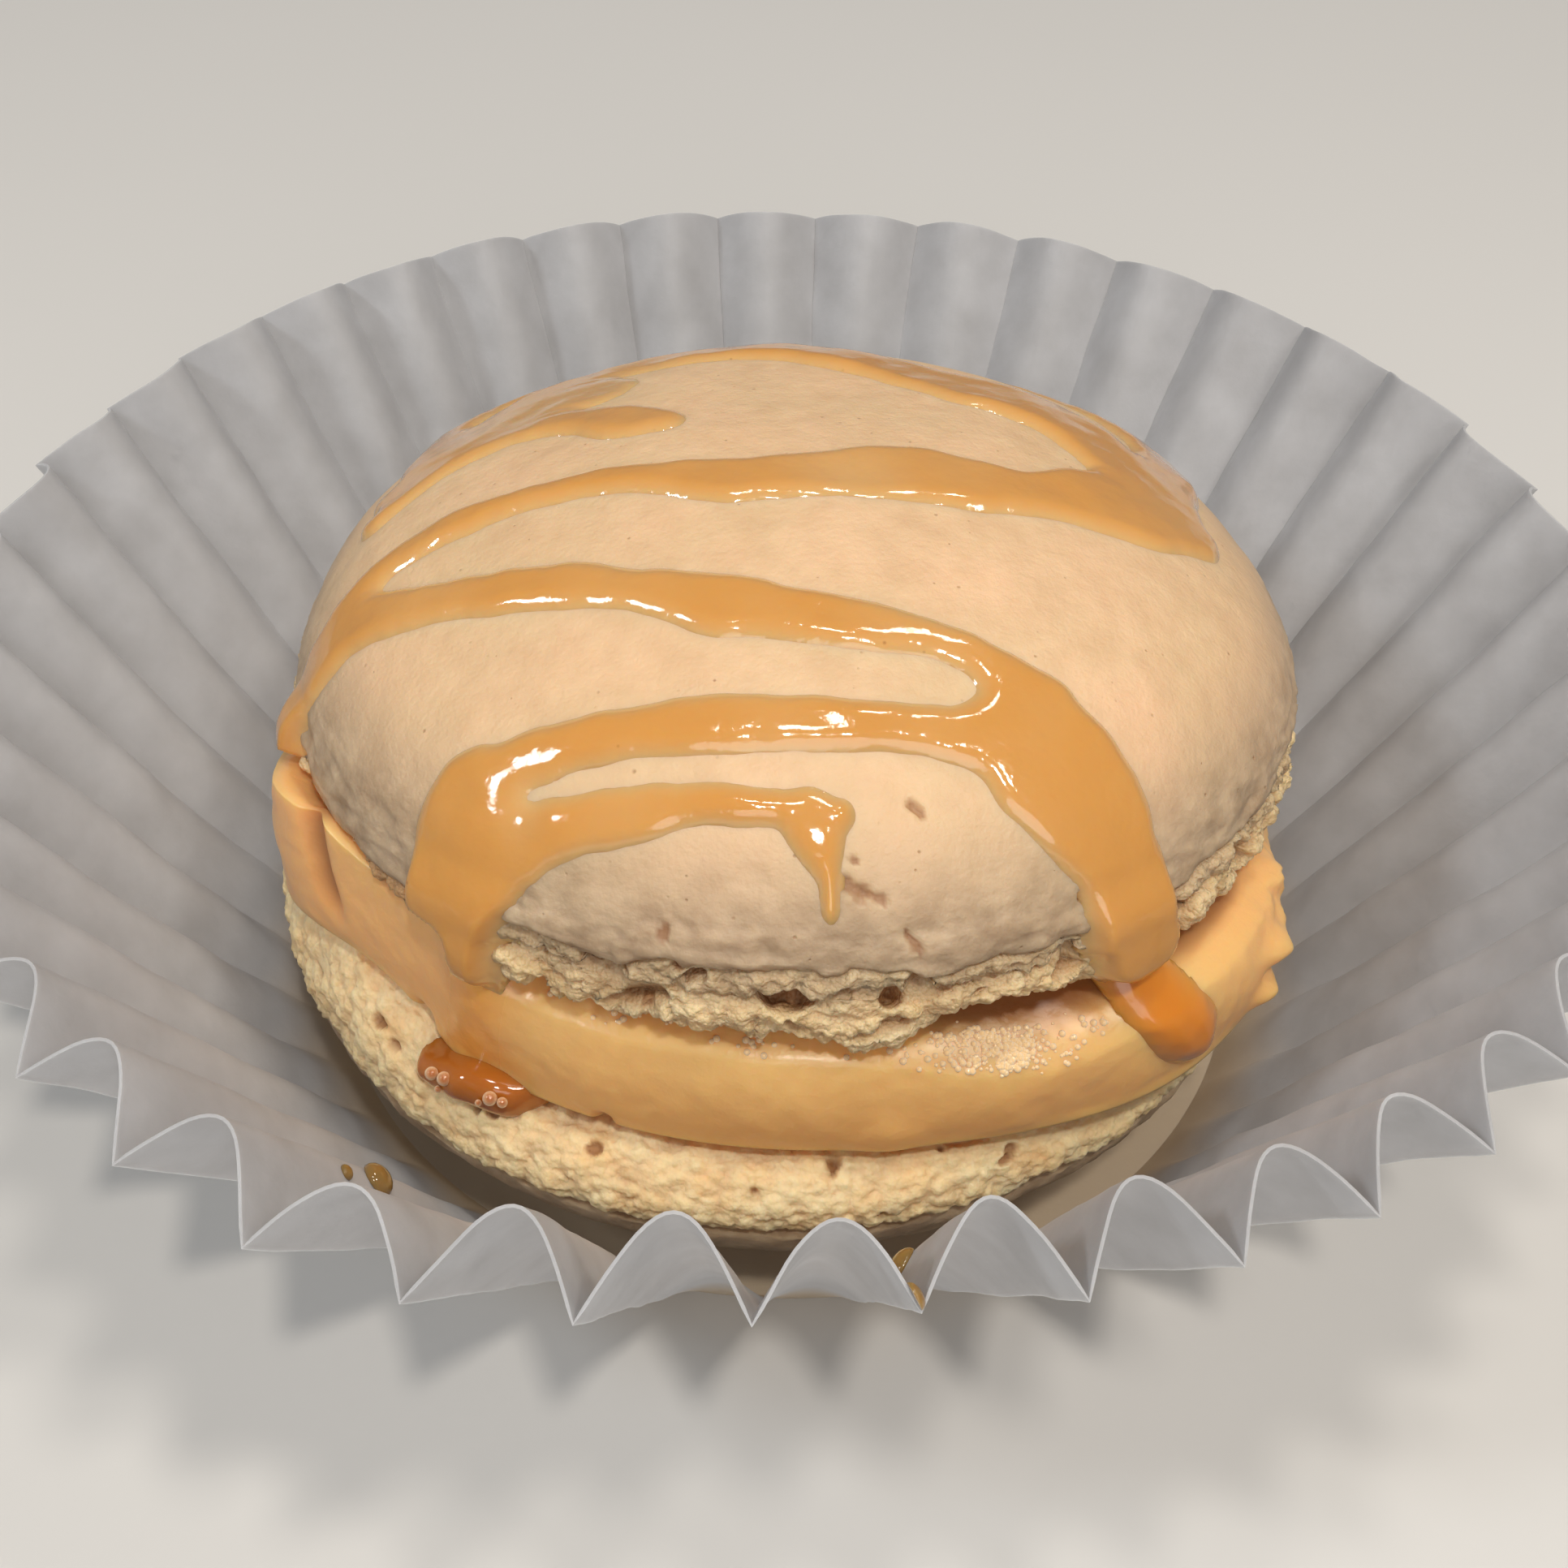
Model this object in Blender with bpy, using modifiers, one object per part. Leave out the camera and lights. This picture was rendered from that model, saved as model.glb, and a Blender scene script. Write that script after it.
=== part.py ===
"""A macaron with a caramel drizzle, sitting in a pleated paper case.

Metres, +Z up. The origin is the middle of the case's underside, and the macaron's thick front faces -Y.
Two almond shells hold a buttercream filling, with a thin caramel layer under it that seeps out at one side.
The drizzle is fused to the upper shell, and two pours of it are fused to the filling.
"""

import math
from typing import NamedTuple

import bmesh
import bpy
from mathutils import Vector, noise

MM = 0.001
GAP = 0.3 * MM
MERGE = 0.01 * MM
SHARP_ANGLE = math.radians(50)

# Paper case: a flat base, and a wall of straight pleats that open out towards the rim
PLEATS = 42
PLEAT_STEPS = 6
WALL_ROWS = 3
PAPER = 0.3 * MM
BASE_RADIUS = 22.0 * MM
RIM_RADIUS = 38.0 * MM
RIM_HEIGHT = 20.0 * MM
RIM_SWAY = 0.5 * MM
RIM_SWAYS = 3
RIM_SWAY_TURN = math.radians(87)
RIM_BULGE = 0.9 * MM
RIM_BULGE_TURN = math.radians(-113)
RIM_BULGE_SPREAD = math.radians(16)
FIRST_PLEAT = math.radians(-126.8)
PLEAT_DRIFT_ONCE = math.radians(0.6)
PLEAT_DRIFT_TWICE = math.radians(1.15)
PLEAT_LEAN_FRONT = math.radians(7.7)
PLEAT_LEAN_BACK = math.radians(5.0)
PLEAT_SEARCH_ROUNDS = 6

# Shells: a smooth dome on a ruffled, porous foot
TURN_STEPS = 84
DOME_ROWS = 10
RUFFLE = 0.9 * MM
RUFFLE_LENGTH = 2.6 * MM


class Shell(NamedTuple):
    """One shell, skin up, with its foot line at height zero."""

    radius: float
    dome: float
    roundness: float
    foot: float
    # The foot from its lip down: how far it stands out from the radius in mm, and the share of its height
    foot_outline: tuple
    seed: float


UPPER = Shell(
    radius=21.5 * MM,
    dome=11.0 * MM,
    roundness=2.0,
    foot=2.5 * MM,
    foot_outline=((-0.35, 0.10), (0.05, 0.35), (-0.05, 0.70), (-0.50, 0.95), (-1.60, 1.00)),
    seed=3.7,
)
LOWER = Shell(
    radius=22.1 * MM,
    dome=7.9 * MM,
    roundness=2.1,
    foot=2.8 * MM,
    foot_outline=((0.30, 0.08), (0.40, 0.30), (0.15, 0.60), (-0.70, 0.92), (-1.70, 1.00)),
    seed=8.1,
)
UPPER_CENTRE = Vector((0.2, -2.4, 19.2)) * MM
UPPER_TILT = math.radians(-4.5)
LOWER_CENTRE = Vector((-0.6, -2.7, 8.5)) * MM
AXIS = Vector((0.0, -2.4, 0.0)) * MM

# Caramel layer: a thin disc with one lobe that seeps out over the lower foot
CARAMEL_THICKNESS = 0.7 * MM
CARAMEL_RADIUS = 19.6 * MM
CARAMEL_OUTLINE = ((-0.4, 0.0), (0.0, 0.35), (-0.1, 0.75), (-0.5, 1.0))
SEEP_ANGLE = math.radians(-124)
SEEP_SPREAD = math.radians(7)
SEEP_REACH = 1.9 * MM

# Filling: a wedge of buttercream, thick in front, squeezed out wider at its right and left
FILLING_RADIUS = 21.5 * MM
FILLING_CROWN = 0.7 * MM
FILLING_ROWS = 6
RIGHT_BULGE = 2.2 * MM
RIGHT_BULGE_ANGLE = math.radians(-43)
RIGHT_BULGE_SPREAD = math.radians(25)
RIGHT_BULGE_END = math.radians(21)
LEFT_BULGE = 1.75 * MM
LEFT_BULGE_ANGLE = math.radians(-155)
LEFT_BULGE_SPREAD = math.radians(12)
TOP_SETBACK = 1.1 * MM
LOW_EDGE_SHARE = 0.3
HIGH_EDGE_SHARE = 0.12

# Drizzle: a bead with a round back
DRIZZLE_HEIGHT = 0.5 * MM
DRIZZLE_BEVEL_RESOLUTION = 5
DRIZZLE_STEP = 1.6 * MM
DRIZZLE_HEM = 0.8
END_TAPER = 0.35

# Each pass of the drizzle, as places (x, y) and full widths in mm in the upper shell's own plan
SHORT_PASS = (
    (1.7, -18.2, 1.4),
    (-1.4, -18.0, 1.6),
    (-5.9, -17.8, 2.0),
    (-8.9, -17.5, 2.2),
    (-11.7, -16.5, 4.0),
)
SHORT_DRIP = ((0.9, -18.3, 2.2), (1.2, -19.3, 1.6), (1.4, -20.5, 1.1))
FRONT_PASS = (
    (-11.8, -16.3, 4.8),
    (-9.4, -15.4, 2.4),
    (-3.3, -15.3, 2.6),
    (3.1, -15.2, 2.4),
    (8.6, -14.4, 4.6),
)
RIGHT_POUR = ((8.2, -12.9, 3.8), (9.6, -15.0, 5.2), (11.5, -16.1, 4.4), (12.7, -17.1, 3.9))
MIDDLE_PASS = (
    (8.4, -12.9, 3.6),
    (5.2, -11.4, 2.4),
    (-1.3, -10.6, 3.1),
    (-5.2, -9.5, 2.8),
    (-13.2, -7.4, 2.4),
    (-19.0, -5.9, 2.2),
)
TOP_PASS = (
    (-18.8, -5.4, 2.2),
    (-16.6, -3.5, 2.1),
    (-9.9, -2.4, 2.1),
    (-2.7, -2.9, 3.7),
    (2.1, -2.3, 3.8),
    (7.0, -2.2, 4.2),
    (14.6, -0.1, 5.2),
)
BACK_PASS = (
    (15.4, 0.4, 3.8),
    (12.0, 5.4, 4.6),
    (7.2, 7.6, 4.2),
    (1.3, 10.3, 3.2),
    (-5.4, 11.4, 2.6),
    (-12.3, 8.6, 2.3),
    (-16.6, 5.2, 2.0),
)
HOOK_PASS = (
    (-7.0, 11.0, 1.4),
    (-5.9, 5.4, 1.4),
    (-6.6, 2.8, 2.8),
    (-9.4, 3.6, 2.8),
    (-12.6, 4.1, 1.9),
    (-17.0, 2.0, 1.7),
)
LAST_PASS = (
    (-16.6, 5.2, 2.0),
    (-14.2, 12.0, 2.6),
    (-8.0, 17.2, 2.8),
    (1.5, 19.0, 2.8),
    (10.5, 16.2, 2.8),
    (15.8, 9.0, 3.0),
    (15.4, 0.4, 3.8),
)
DRIZZLE_PASSES = (
    SHORT_PASS,
    SHORT_DRIP,
    FRONT_PASS,
    RIGHT_POUR,
    MIDDLE_PASS,
    TOP_PASS,
    BACK_PASS,
    HOOK_PASS,
    LAST_PASS,
)


class Pour(NamedTuple):
    """Caramel that ran down over the filling's side."""

    angle: float
    spread: float
    height: float


POURS = (
    Pour(math.radians(-46), math.radians(8.5), 1.1 * MM),
    Pour(math.radians(-124), math.radians(5.0), 0.6 * MM),
)


def clear_scene():
    """Takes away whatever the file holds."""
    for old in list(bpy.data.objects):
        bpy.data.objects.remove(old, do_unlink=True)


def bell(offset, spread):
    """A smooth hump: 1 at the middle, and almost nothing two spreads away."""
    return math.exp(-((offset / spread) ** 2))


def angle_apart(a, b):
    """The signed turn from b to a, between minus and plus half a turn."""
    return (a - b + math.pi) % math.tau - math.pi


def finish(name, colour, roughness):
    """A plain material with its colour, roughness and no metal."""
    made = bpy.data.materials.new(name)
    made.use_nodes = True
    shader = made.node_tree.nodes["Principled BSDF"]
    shader.inputs["Base Color"].default_value = (*colour, 1.0)
    shader.inputs["Roughness"].default_value = roughness
    shader.inputs["Metallic"].default_value = 0.0
    return made


def place(name, mesh, material, collection, location=(0.0, 0.0, 0.0), turn_about_x=0.0):
    """Puts a mesh in the collection as one smooth-shaded object."""
    made = bpy.data.objects.new(name, mesh)
    mesh.materials.clear()
    mesh.materials.append(material)
    mesh.shade_smooth()
    mesh.set_sharp_from_angle(angle=SHARP_ANGLE)
    made.location = location
    made.rotation_euler.x = turn_about_x
    collection.objects.link(made)
    return made


def evaluated_mesh(source):
    """The object's mesh with its modifiers or its bevel applied."""
    bpy.context.view_layer.update()
    graph = bpy.context.evaluated_depsgraph_get()
    return bpy.data.meshes.new_from_object(source.evaluated_get(graph), depsgraph=graph)


def pleat_phase(turn):
    """How many pleats lie before this angle. The spacing drifts a little, as in a pressed case."""
    drift = -PLEAT_DRIFT_ONCE * math.cos(turn) - PLEAT_DRIFT_TWICE * math.cos(2 * turn)
    return PLEATS * (turn - FIRST_PLEAT - drift) / math.tau


def pleat_turns(steps):
    """The angles that divide every pleat into equal steps, from its outer fold."""
    turns = []
    for step in range(PLEATS * steps):
        wanted = step / steps
        turn = FIRST_PLEAT + math.tau * wanted / PLEATS
        for _ in range(PLEAT_SEARCH_ROUNDS):
            turn += math.tau * (wanted - pleat_phase(turn)) / PLEATS
        turns.append(turn)
    return turns


def case_wall_point(turn, share):
    """A point of the wall's outer face, at a share of the way from the base fold to the rim."""
    rim = RIM_RADIUS + RIM_SWAY * math.cos(RIM_SWAYS * (turn - RIM_SWAY_TURN))
    rim += RIM_BULGE * bell(angle_apart(turn, RIM_BULGE_TURN), RIM_BULGE_SPREAD)
    run = rim - BASE_RADIUS
    slant = math.hypot(RIM_RADIUS - BASE_RADIUS, RIM_HEIGHT)
    steepness = math.acos(run / slant)
    frontness = (1 - math.sin(turn)) / 2
    lean = PLEAT_LEAN_BACK + (PLEAT_LEAN_FRONT - PLEAT_LEAN_BACK) * frontness
    steepness += lean * abs(math.sin(math.pi * pleat_phase(turn)))
    radius = BASE_RADIUS + share * slant * math.cos(steepness)
    return Vector((radius * math.cos(turn), radius * math.sin(turn), share * slant * math.sin(steepness)))


def paper_case(collection):
    """The pleated paper case, an open sheet given its thickness on the inside."""
    sheet = bmesh.new()
    turns = pleat_turns(PLEAT_STEPS)
    rings = []
    for row in range(WALL_ROWS + 1):
        rings.append([sheet.verts.new(case_wall_point(turn, row / WALL_ROWS)) for turn in turns])
    middle = sheet.verts.new((0.0, 0.0, 0.0))
    count = len(turns)
    for i in range(count):
        j = (i + 1) % count
        sheet.faces.new((middle, rings[0][j], rings[0][i]))
        for low, high in zip(rings, rings[1:]):
            sheet.faces.new((low[i], low[j], high[j], high[i]))
    mesh = bpy.data.meshes.new("paper_case")
    sheet.to_mesh(mesh)
    sheet.free()
    paper = finish("greaseproof_paper", (0.78, 0.76, 0.74), 0.6)
    case = place("paper_case", mesh, paper, collection)
    wall = case.modifiers.new("paper_thickness", "SOLIDIFY")
    wall.thickness = PAPER
    wall.offset = -1.0
    return case


def dome_height(shell, radius):
    """How high a shell's skin stands over its foot line, at a distance from the shell's axis."""
    share = min(radius / shell.radius, 1.0)
    return shell.dome * (1 - share**shell.roundness) ** (1 / shell.roundness)


def shell_outline(shell):
    """Points (r, z) from the top of a shell's dome, over its foot, to the middle of its underside."""
    points = []
    for row in range(DOME_ROWS + 1):
        quarter_share = row / DOME_ROWS
        radius = shell.radius * math.sin(math.pi / 2 * quarter_share) ** (2 / shell.roundness)
        points.append((radius, dome_height(shell, radius)))
    for out, share in shell.foot_outline:
        points.append((shell.radius + out * MM, -share * shell.foot))
    points.append((0.0, -shell.foot))
    return points


def turned(name, outline):
    """A closed solid turned about Z from points (r, z), given from its top to its bottom."""
    mesh = bpy.data.meshes.new(name)
    corners = [(radius, 0.0, height) for radius, height in outline]
    mesh.from_pydata(corners, [(i, i + 1) for i in range(len(corners) - 1)], [])
    blank = bpy.data.objects.new(name + "_outline", mesh)
    bpy.context.scene.collection.objects.link(blank)
    lathe = blank.modifiers.new("turn", "SCREW")
    lathe.steps = TURN_STEPS
    lathe.render_steps = TURN_STEPS
    lathe.use_merge_vertices = True
    lathe.merge_threshold = MERGE
    solid = evaluated_mesh(blank)
    bpy.data.objects.remove(blank)
    bpy.data.meshes.remove(mesh)
    solid.name = name
    return solid


def ruffle(mesh, shell):
    """Pushes the side of a foot in and out, so that it is as uneven as a baked one."""
    for vertex in mesh.vertices:
        radius = math.hypot(vertex.co.x, vertex.co.y)
        on_side = -shell.foot < vertex.co.z < 0 and radius > shell.radius / 2
        if not on_side:
            continue
        spot = vertex.co / RUFFLE_LENGTH + Vector((shell.seed, shell.seed, shell.seed))
        grown = 1 + RUFFLE * noise.noise(spot) / radius
        vertex.co.x *= grown
        vertex.co.y *= grown


def shell_mesh(name, shell):
    """The closed mesh of one shell, skin up."""
    mesh = turned(name, shell_outline(shell))
    ruffle(mesh, shell)
    return mesh


def smooth_route(places):
    """Points (x, y, width) in metres on a smooth line through the places, closely spaced."""
    knots = [Vector(entry) * MM for entry in places]
    knots = [2 * knots[0] - knots[1], *knots, 2 * knots[-1] - knots[-2]]
    route = []
    for before, start, end, after in zip(knots, knots[1:], knots[2:], knots[3:]):
        steps = max(2, round((end.xy - start.xy).length / DRIZZLE_STEP))
        for step in range(steps):
            t = step / steps
            route.append(
                0.5
                * (
                    2 * start
                    + (end - before) * t
                    + (2 * before - 5 * start + 4 * end - after) * t**2
                    + (3 * start - before - 3 * end + after) * t**3
                )
            )
    route.append(knots[-2])
    return route


def skin_normal(shell, point):
    """The skin's outward direction at a point of it, in the shell's own frame."""
    power = shell.roundness - 1
    radius = max(math.hypot(point.x, point.y), MERGE)
    outward = (radius / shell.radius) ** power / shell.radius
    upward = (max(point.z, 0.0) / shell.dome) ** power / shell.dome
    return Vector((outward * point.x / radius, outward * point.y / radius, upward)).normalized()


def cut_below(shape, height):
    """Takes away what lies under a height and closes the cut, to keep the sunk part inside the shell."""
    everything = list(shape.verts) + list(shape.edges) + list(shape.faces)
    cut = bmesh.ops.bisect_plane(
        shape, geom=everything, plane_co=(0.0, 0.0, height), plane_no=(0.0, 0.0, 1.0), clear_inner=True
    )
    edges = [item for item in cut["geom_cut"] if isinstance(item, bmesh.types.BMEdge)]
    if edges:
        bmesh.ops.holes_fill(shape, edges=edges)


def drizzle_bead(name, places, collection):
    """One pass of drizzle: a round tube, sunk so that its back stands out of the skin by the right width."""
    path = bpy.data.curves.new(name, "CURVE")
    path.dimensions = "3D"
    path.bevel_depth = 1.0
    path.bevel_resolution = DRIZZLE_BEVEL_RESOLUTION
    path.use_fill_caps = True
    route = smooth_route(places)
    line = path.splines.new("POLY")
    line.points.add(len(route) - 1)
    for index, (knot, (x, y, width)) in enumerate(zip(line.points, route)):
        at_end = index in (0, len(route) - 1)
        height = DRIZZLE_HEIGHT * (END_TAPER if at_end else 1.0)
        half = width / 2
        tube_radius = (half**2 + height**2) / (2 * height)
        on_skin = Vector((x, y, dome_height(UPPER, math.hypot(x, y))))
        centre = on_skin - skin_normal(UPPER, on_skin) * (tube_radius - height)
        knot.co = (*centre, 1.0)
        knot.radius = tube_radius
    tube = bpy.data.objects.new(name, path)
    bpy.context.scene.collection.objects.link(tube)
    mesh = evaluated_mesh(tube)
    bpy.data.objects.remove(tube)
    bpy.data.curves.remove(path)
    shape = bmesh.new()
    shape.from_mesh(mesh)
    bmesh.ops.remove_doubles(shape, verts=shape.verts, dist=MERGE)
    cut_below(shape, -DRIZZLE_HEM * UPPER.foot)
    bmesh.ops.recalc_face_normals(shape, faces=shape.faces)
    shape.to_mesh(mesh)
    shape.free()
    bead = bpy.data.objects.new(name, mesh)
    collection.objects.link(bead)
    return bead


def upper_shell(collection):
    """The upper shell, skin up, with every pass of the drizzle fused to it."""
    skin = finish("almond_skin", (0.78, 0.60, 0.44), 0.6)
    shell = place("upper_shell", shell_mesh("upper_shell", UPPER), skin, collection)
    beads = bpy.data.collections.new("drizzle_passes")
    bpy.context.scene.collection.children.link(beads)
    for number, places in enumerate(DRIZZLE_PASSES):
        drizzle_bead(f"drizzle_pass_{number}", places, beads)
    fuse = shell.modifiers.new("fuse_drizzle", "BOOLEAN")
    fuse.operation = "UNION"
    fuse.operand_type = "COLLECTION"
    fuse.collection = beads
    fuse.solver = "EXACT"
    fused = evaluated_mesh(shell)
    shell.modifiers.clear()
    shell.data = fused
    for bead in list(beads.objects):
        bpy.data.objects.remove(bead)
    bpy.data.collections.remove(beads)
    shell.location = UPPER_CENTRE
    shell.rotation_euler.x = UPPER_TILT
    return shell


def lower_shell(collection):
    """The lower shell, skin down: it rests on the small flat of its dome."""
    skin = finish("almond_skin_under", (0.80, 0.64, 0.44), 0.65)
    mesh = shell_mesh("lower_shell", LOWER)
    return place("lower_shell", mesh, skin, collection, location=LOWER_CENTRE, turn_about_x=math.pi)


def filling_radius(turn):
    """How far the buttercream reaches from the macaron's axis at an angle."""
    past = angle_apart(turn, RIGHT_BULGE_ANGLE)
    # The right bulge fades slowly towards the front, and ends sooner towards the back
    if past < 0:
        right = RIGHT_BULGE * bell(past, RIGHT_BULGE_SPREAD)
    else:
        right = RIGHT_BULGE * math.exp(-((past / RIGHT_BULGE_END) ** 4))
    left = LEFT_BULGE * bell(angle_apart(turn, LEFT_BULGE_ANGLE), LEFT_BULGE_SPREAD)
    return FILLING_RADIUS + right + left


def under_upper_shell(x, y):
    """The height of the upper shell's tilted underside over a place of the base."""
    middle_y = UPPER_CENTRE.y + UPPER.foot * math.sin(UPPER_TILT)
    middle_z = UPPER_CENTRE.z - UPPER.foot * math.cos(UPPER_TILT)
    return middle_z + (y - middle_y) * math.tan(UPPER_TILT)


def caramel_radius(turn):
    """How far the caramel layer reaches, with the lobe that has seeped out."""
    return CARAMEL_RADIUS + SEEP_REACH * bell(angle_apart(turn, SEEP_ANGLE), SEEP_SPREAD)


def ring_solid(name, rows):
    """A closed solid through rings about the macaron's axis, from the bottom up. A row gives r and z."""
    shape = bmesh.new()
    rings = []
    for row in rows:
        ring = []
        for step in range(TURN_STEPS):
            turn = math.tau * step / TURN_STEPS
            radius, height = row(turn)
            around = Vector((radius * math.cos(turn), radius * math.sin(turn), height))
            ring.append(shape.verts.new(AXIS + around))
        rings.append(ring)
    for low, high in zip(rings, rings[1:]):
        for i in range(TURN_STEPS):
            j = (i + 1) % TURN_STEPS
            shape.faces.new((low[i], low[j], high[j], high[i]))
    for ring in (rings[0], rings[-1]):
        hub = shape.verts.new(sum((corner.co for corner in ring), Vector()) / TURN_STEPS)
        for i in range(TURN_STEPS):
            shape.faces.new((hub, ring[i], ring[(i + 1) % TURN_STEPS]))
    bmesh.ops.recalc_face_normals(shape, faces=shape.faces)
    mesh = bpy.data.meshes.new(name)
    shape.to_mesh(mesh)
    shape.free()
    return mesh


def caramel_row(out, share):
    """The ring of the caramel layer that stands out by this much, at a share of its thickness."""
    floor = LOWER_CENTRE.z + LOWER.foot + GAP
    return lambda turn: (caramel_radius(turn) + out * MM, floor + share * CARAMEL_THICKNESS)


def caramel_layer(collection):
    """The dark caramel between the lower shell and the buttercream."""
    caramel = finish("dark_caramel", (0.42, 0.13, 0.02), 0.15)
    mesh = ring_solid("caramel_layer", [caramel_row(out, share) for out, share in CARAMEL_OUTLINE])
    return place("caramel_layer", mesh, caramel, collection)


def filling_row(share):
    """The ring of the filling at a share of its height, as a function of the angle."""

    def ring(turn):
        # The side swells between its lower and upper edges, and the upper edge draws back under the foot
        swell = math.sin(math.pi * (LOW_EDGE_SHARE + (1 - LOW_EDGE_SHARE - HIGH_EDGE_SHARE) * share))
        radius = filling_radius(turn) - FILLING_CROWN * (1 - swell) - TOP_SETBACK * share**3
        for pour in POURS:
            fade = math.sqrt(max(math.sin(math.pi * share), 0.0))
            radius += pour.height * fade * bell(angle_apart(turn, pour.angle), pour.spread)
        floor = LOWER_CENTRE.z + LOWER.foot + CARAMEL_THICKNESS + 2 * GAP
        ceiling = under_upper_shell(AXIS.x + radius * math.cos(turn), AXIS.y + radius * math.sin(turn)) - GAP
        return radius, floor + (ceiling - floor) * share

    return ring


def filling(collection):
    """The buttercream, from the caramel layer up to the upper shell's underside."""
    cream = finish("buttercream", (0.80, 0.50, 0.27), 0.45)
    mesh = ring_solid("filling", [filling_row(row / FILLING_ROWS) for row in range(FILLING_ROWS + 1)])
    return place("filling", mesh, cream, collection)


def main():
    """Builds every piece of the macaron and its case."""
    clear_scene()
    collection = bpy.data.collections.new("macaron_in_case")
    bpy.context.scene.collection.children.link(collection)
    paper_case(collection)
    lower_shell(collection)
    caramel_layer(collection)
    filling(collection)
    upper_shell(collection)


main()
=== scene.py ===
"""The looks of a macaron with a caramel drizzle, in its pleated paper case.

Each sub-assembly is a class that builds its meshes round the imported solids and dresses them.
Metres, +Z up. The case stands on the floor at the origin, and the macaron's thick front faces -Y.
"""

import logging
import math
from dataclasses import dataclass, replace
from enum import Enum
from functools import cache, partialmethod

import bpy
import numpy as np
from mathutils import Matrix, Vector
from mathutils.bvhtree import BVHTree


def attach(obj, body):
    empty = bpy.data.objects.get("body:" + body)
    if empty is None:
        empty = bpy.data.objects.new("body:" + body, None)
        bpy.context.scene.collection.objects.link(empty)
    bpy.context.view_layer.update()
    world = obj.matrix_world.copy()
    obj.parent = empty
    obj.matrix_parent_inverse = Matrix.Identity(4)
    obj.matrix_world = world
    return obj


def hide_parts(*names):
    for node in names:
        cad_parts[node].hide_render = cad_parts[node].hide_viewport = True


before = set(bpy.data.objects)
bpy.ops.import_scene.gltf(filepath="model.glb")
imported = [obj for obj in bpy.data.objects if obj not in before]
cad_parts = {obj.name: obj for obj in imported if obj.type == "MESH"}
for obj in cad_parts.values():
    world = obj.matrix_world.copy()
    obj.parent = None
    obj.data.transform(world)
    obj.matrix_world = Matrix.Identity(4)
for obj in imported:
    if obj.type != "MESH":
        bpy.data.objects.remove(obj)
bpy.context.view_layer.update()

LOG = logging.getLogger("macaron")
MM = 0.001
BODY = "root"

Array = np.ndarray
Mesh = bpy.types.Mesh
Material = bpy.types.Material
NodeTree = bpy.types.NodeTree
Socket = bpy.types.NodeSocket
Pair = tuple[float, float]
Triple = tuple[float, float, float]
Four = tuple[float, float, float, float]
Colour = Four


class Slot(Enum):
    """Names for material slots; nothing in this script uses them."""

    PAPER = "paper"
    SHELL = "almond_shell"
    CREAM = "buttercream"
    CARAMEL = "caramel"


class Tag(Enum):
    """Names of the number layers that a mesh hands to its material."""

    FOOT = "foot"
    # Where painted shade darkens hollows, cracks and recesses
    PAINTED_SHADE = "pit"
    DEPTH = "depth"
    BEADS = "beads"
    EDGE = "edge"
    STREAK = "streak"


# Numbers over arrays


# The turns, in degrees, over which soft_table takes its mean
SOFT_OFFSETS = (-2.4, -1.6, -0.8, 0.0, 0.8, 1.6, 2.4)


def smooth_step(low: float, high: float, values: Array) -> Array:
    """Rises smoothly from 0 where the values are at low to 1 where they are at high."""
    share = np.clip((values - low) / (high - low), 0.0, 1.0)
    return share * share * (3 - 2 * share)


def bell(offset: Array, spread: float) -> Array:
    """A smooth hump: 1 in the middle, almost nothing two spreads away."""
    return np.exp(-((offset / spread) ** 2))


def angle_apart(turn: Array, other: float) -> Array:
    """The signed turn from other to turn, between minus and plus half a turn."""
    return (turn - other + math.pi) % math.tau - math.pi


def turn_bell(turn: Array, middle_deg: float, spread_deg: float) -> Array:
    """A smooth hump round the axis: 1 at its middle, almost nothing two spreads away."""
    return bell(angle_apart(turn, math.radians(middle_deg)), math.radians(spread_deg))


def round_axis(radius: Array | float, turn: Array, height: Array | float) -> Array:
    """Rows of x, y, z for places given by their distance from the axis, angle and height."""
    return np.column_stack([radius * np.cos(turn), radius * np.sin(turn), height + turn * 0])


def soft_table(table: tuple[Pair, ...], turn: Array) -> Array:
    """Reads a table by angle, with its corners rounded off.

    Args:
        table: Rows of (angle in degrees, value in mm) from -180 to 180.
        turn: The angles to read it at, in radians.

    Returns:
        Values in metres.
    """
    rows = np.array(table)
    total = np.zeros(len(turn))
    for offset in SOFT_OFFSETS:
        total += np.interp(np.degrees(angle_apart(turn, math.radians(offset))), rows[:, 0], rows[:, 1])
    return MM * total / len(SOFT_OFFSETS)


def smooth_route(stations: Array, step: float) -> Array:
    """Points on a smooth line through the stations, every column blended alike.

    Args:
        stations: One row for each station. The first two columns are its place.
        step: The wanted distance between points.

    Returns:
        Rows like the stations', evenly close.
    """
    knots = np.vstack([2 * stations[0] - stations[1], stations, 2 * stations[-1] - stations[-2]])
    route = []
    for before, start, end, after in zip(knots, knots[1:], knots[2:], knots[3:]):
        count = max(2, int(np.linalg.norm(end[:2] - start[:2]) / step))
        t = (np.arange(count) / count)[:, None]
        straight = 2 * start + (end - before) * t
        curved = (2 * before - 5 * start + 4 * end - after) * t**2
        twisted = (3 * start - before - 3 * end + after) * t**3
        route.append(0.5 * (straight + curved + twisted))
    return np.vstack([*route, stations[-1:]])


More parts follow.
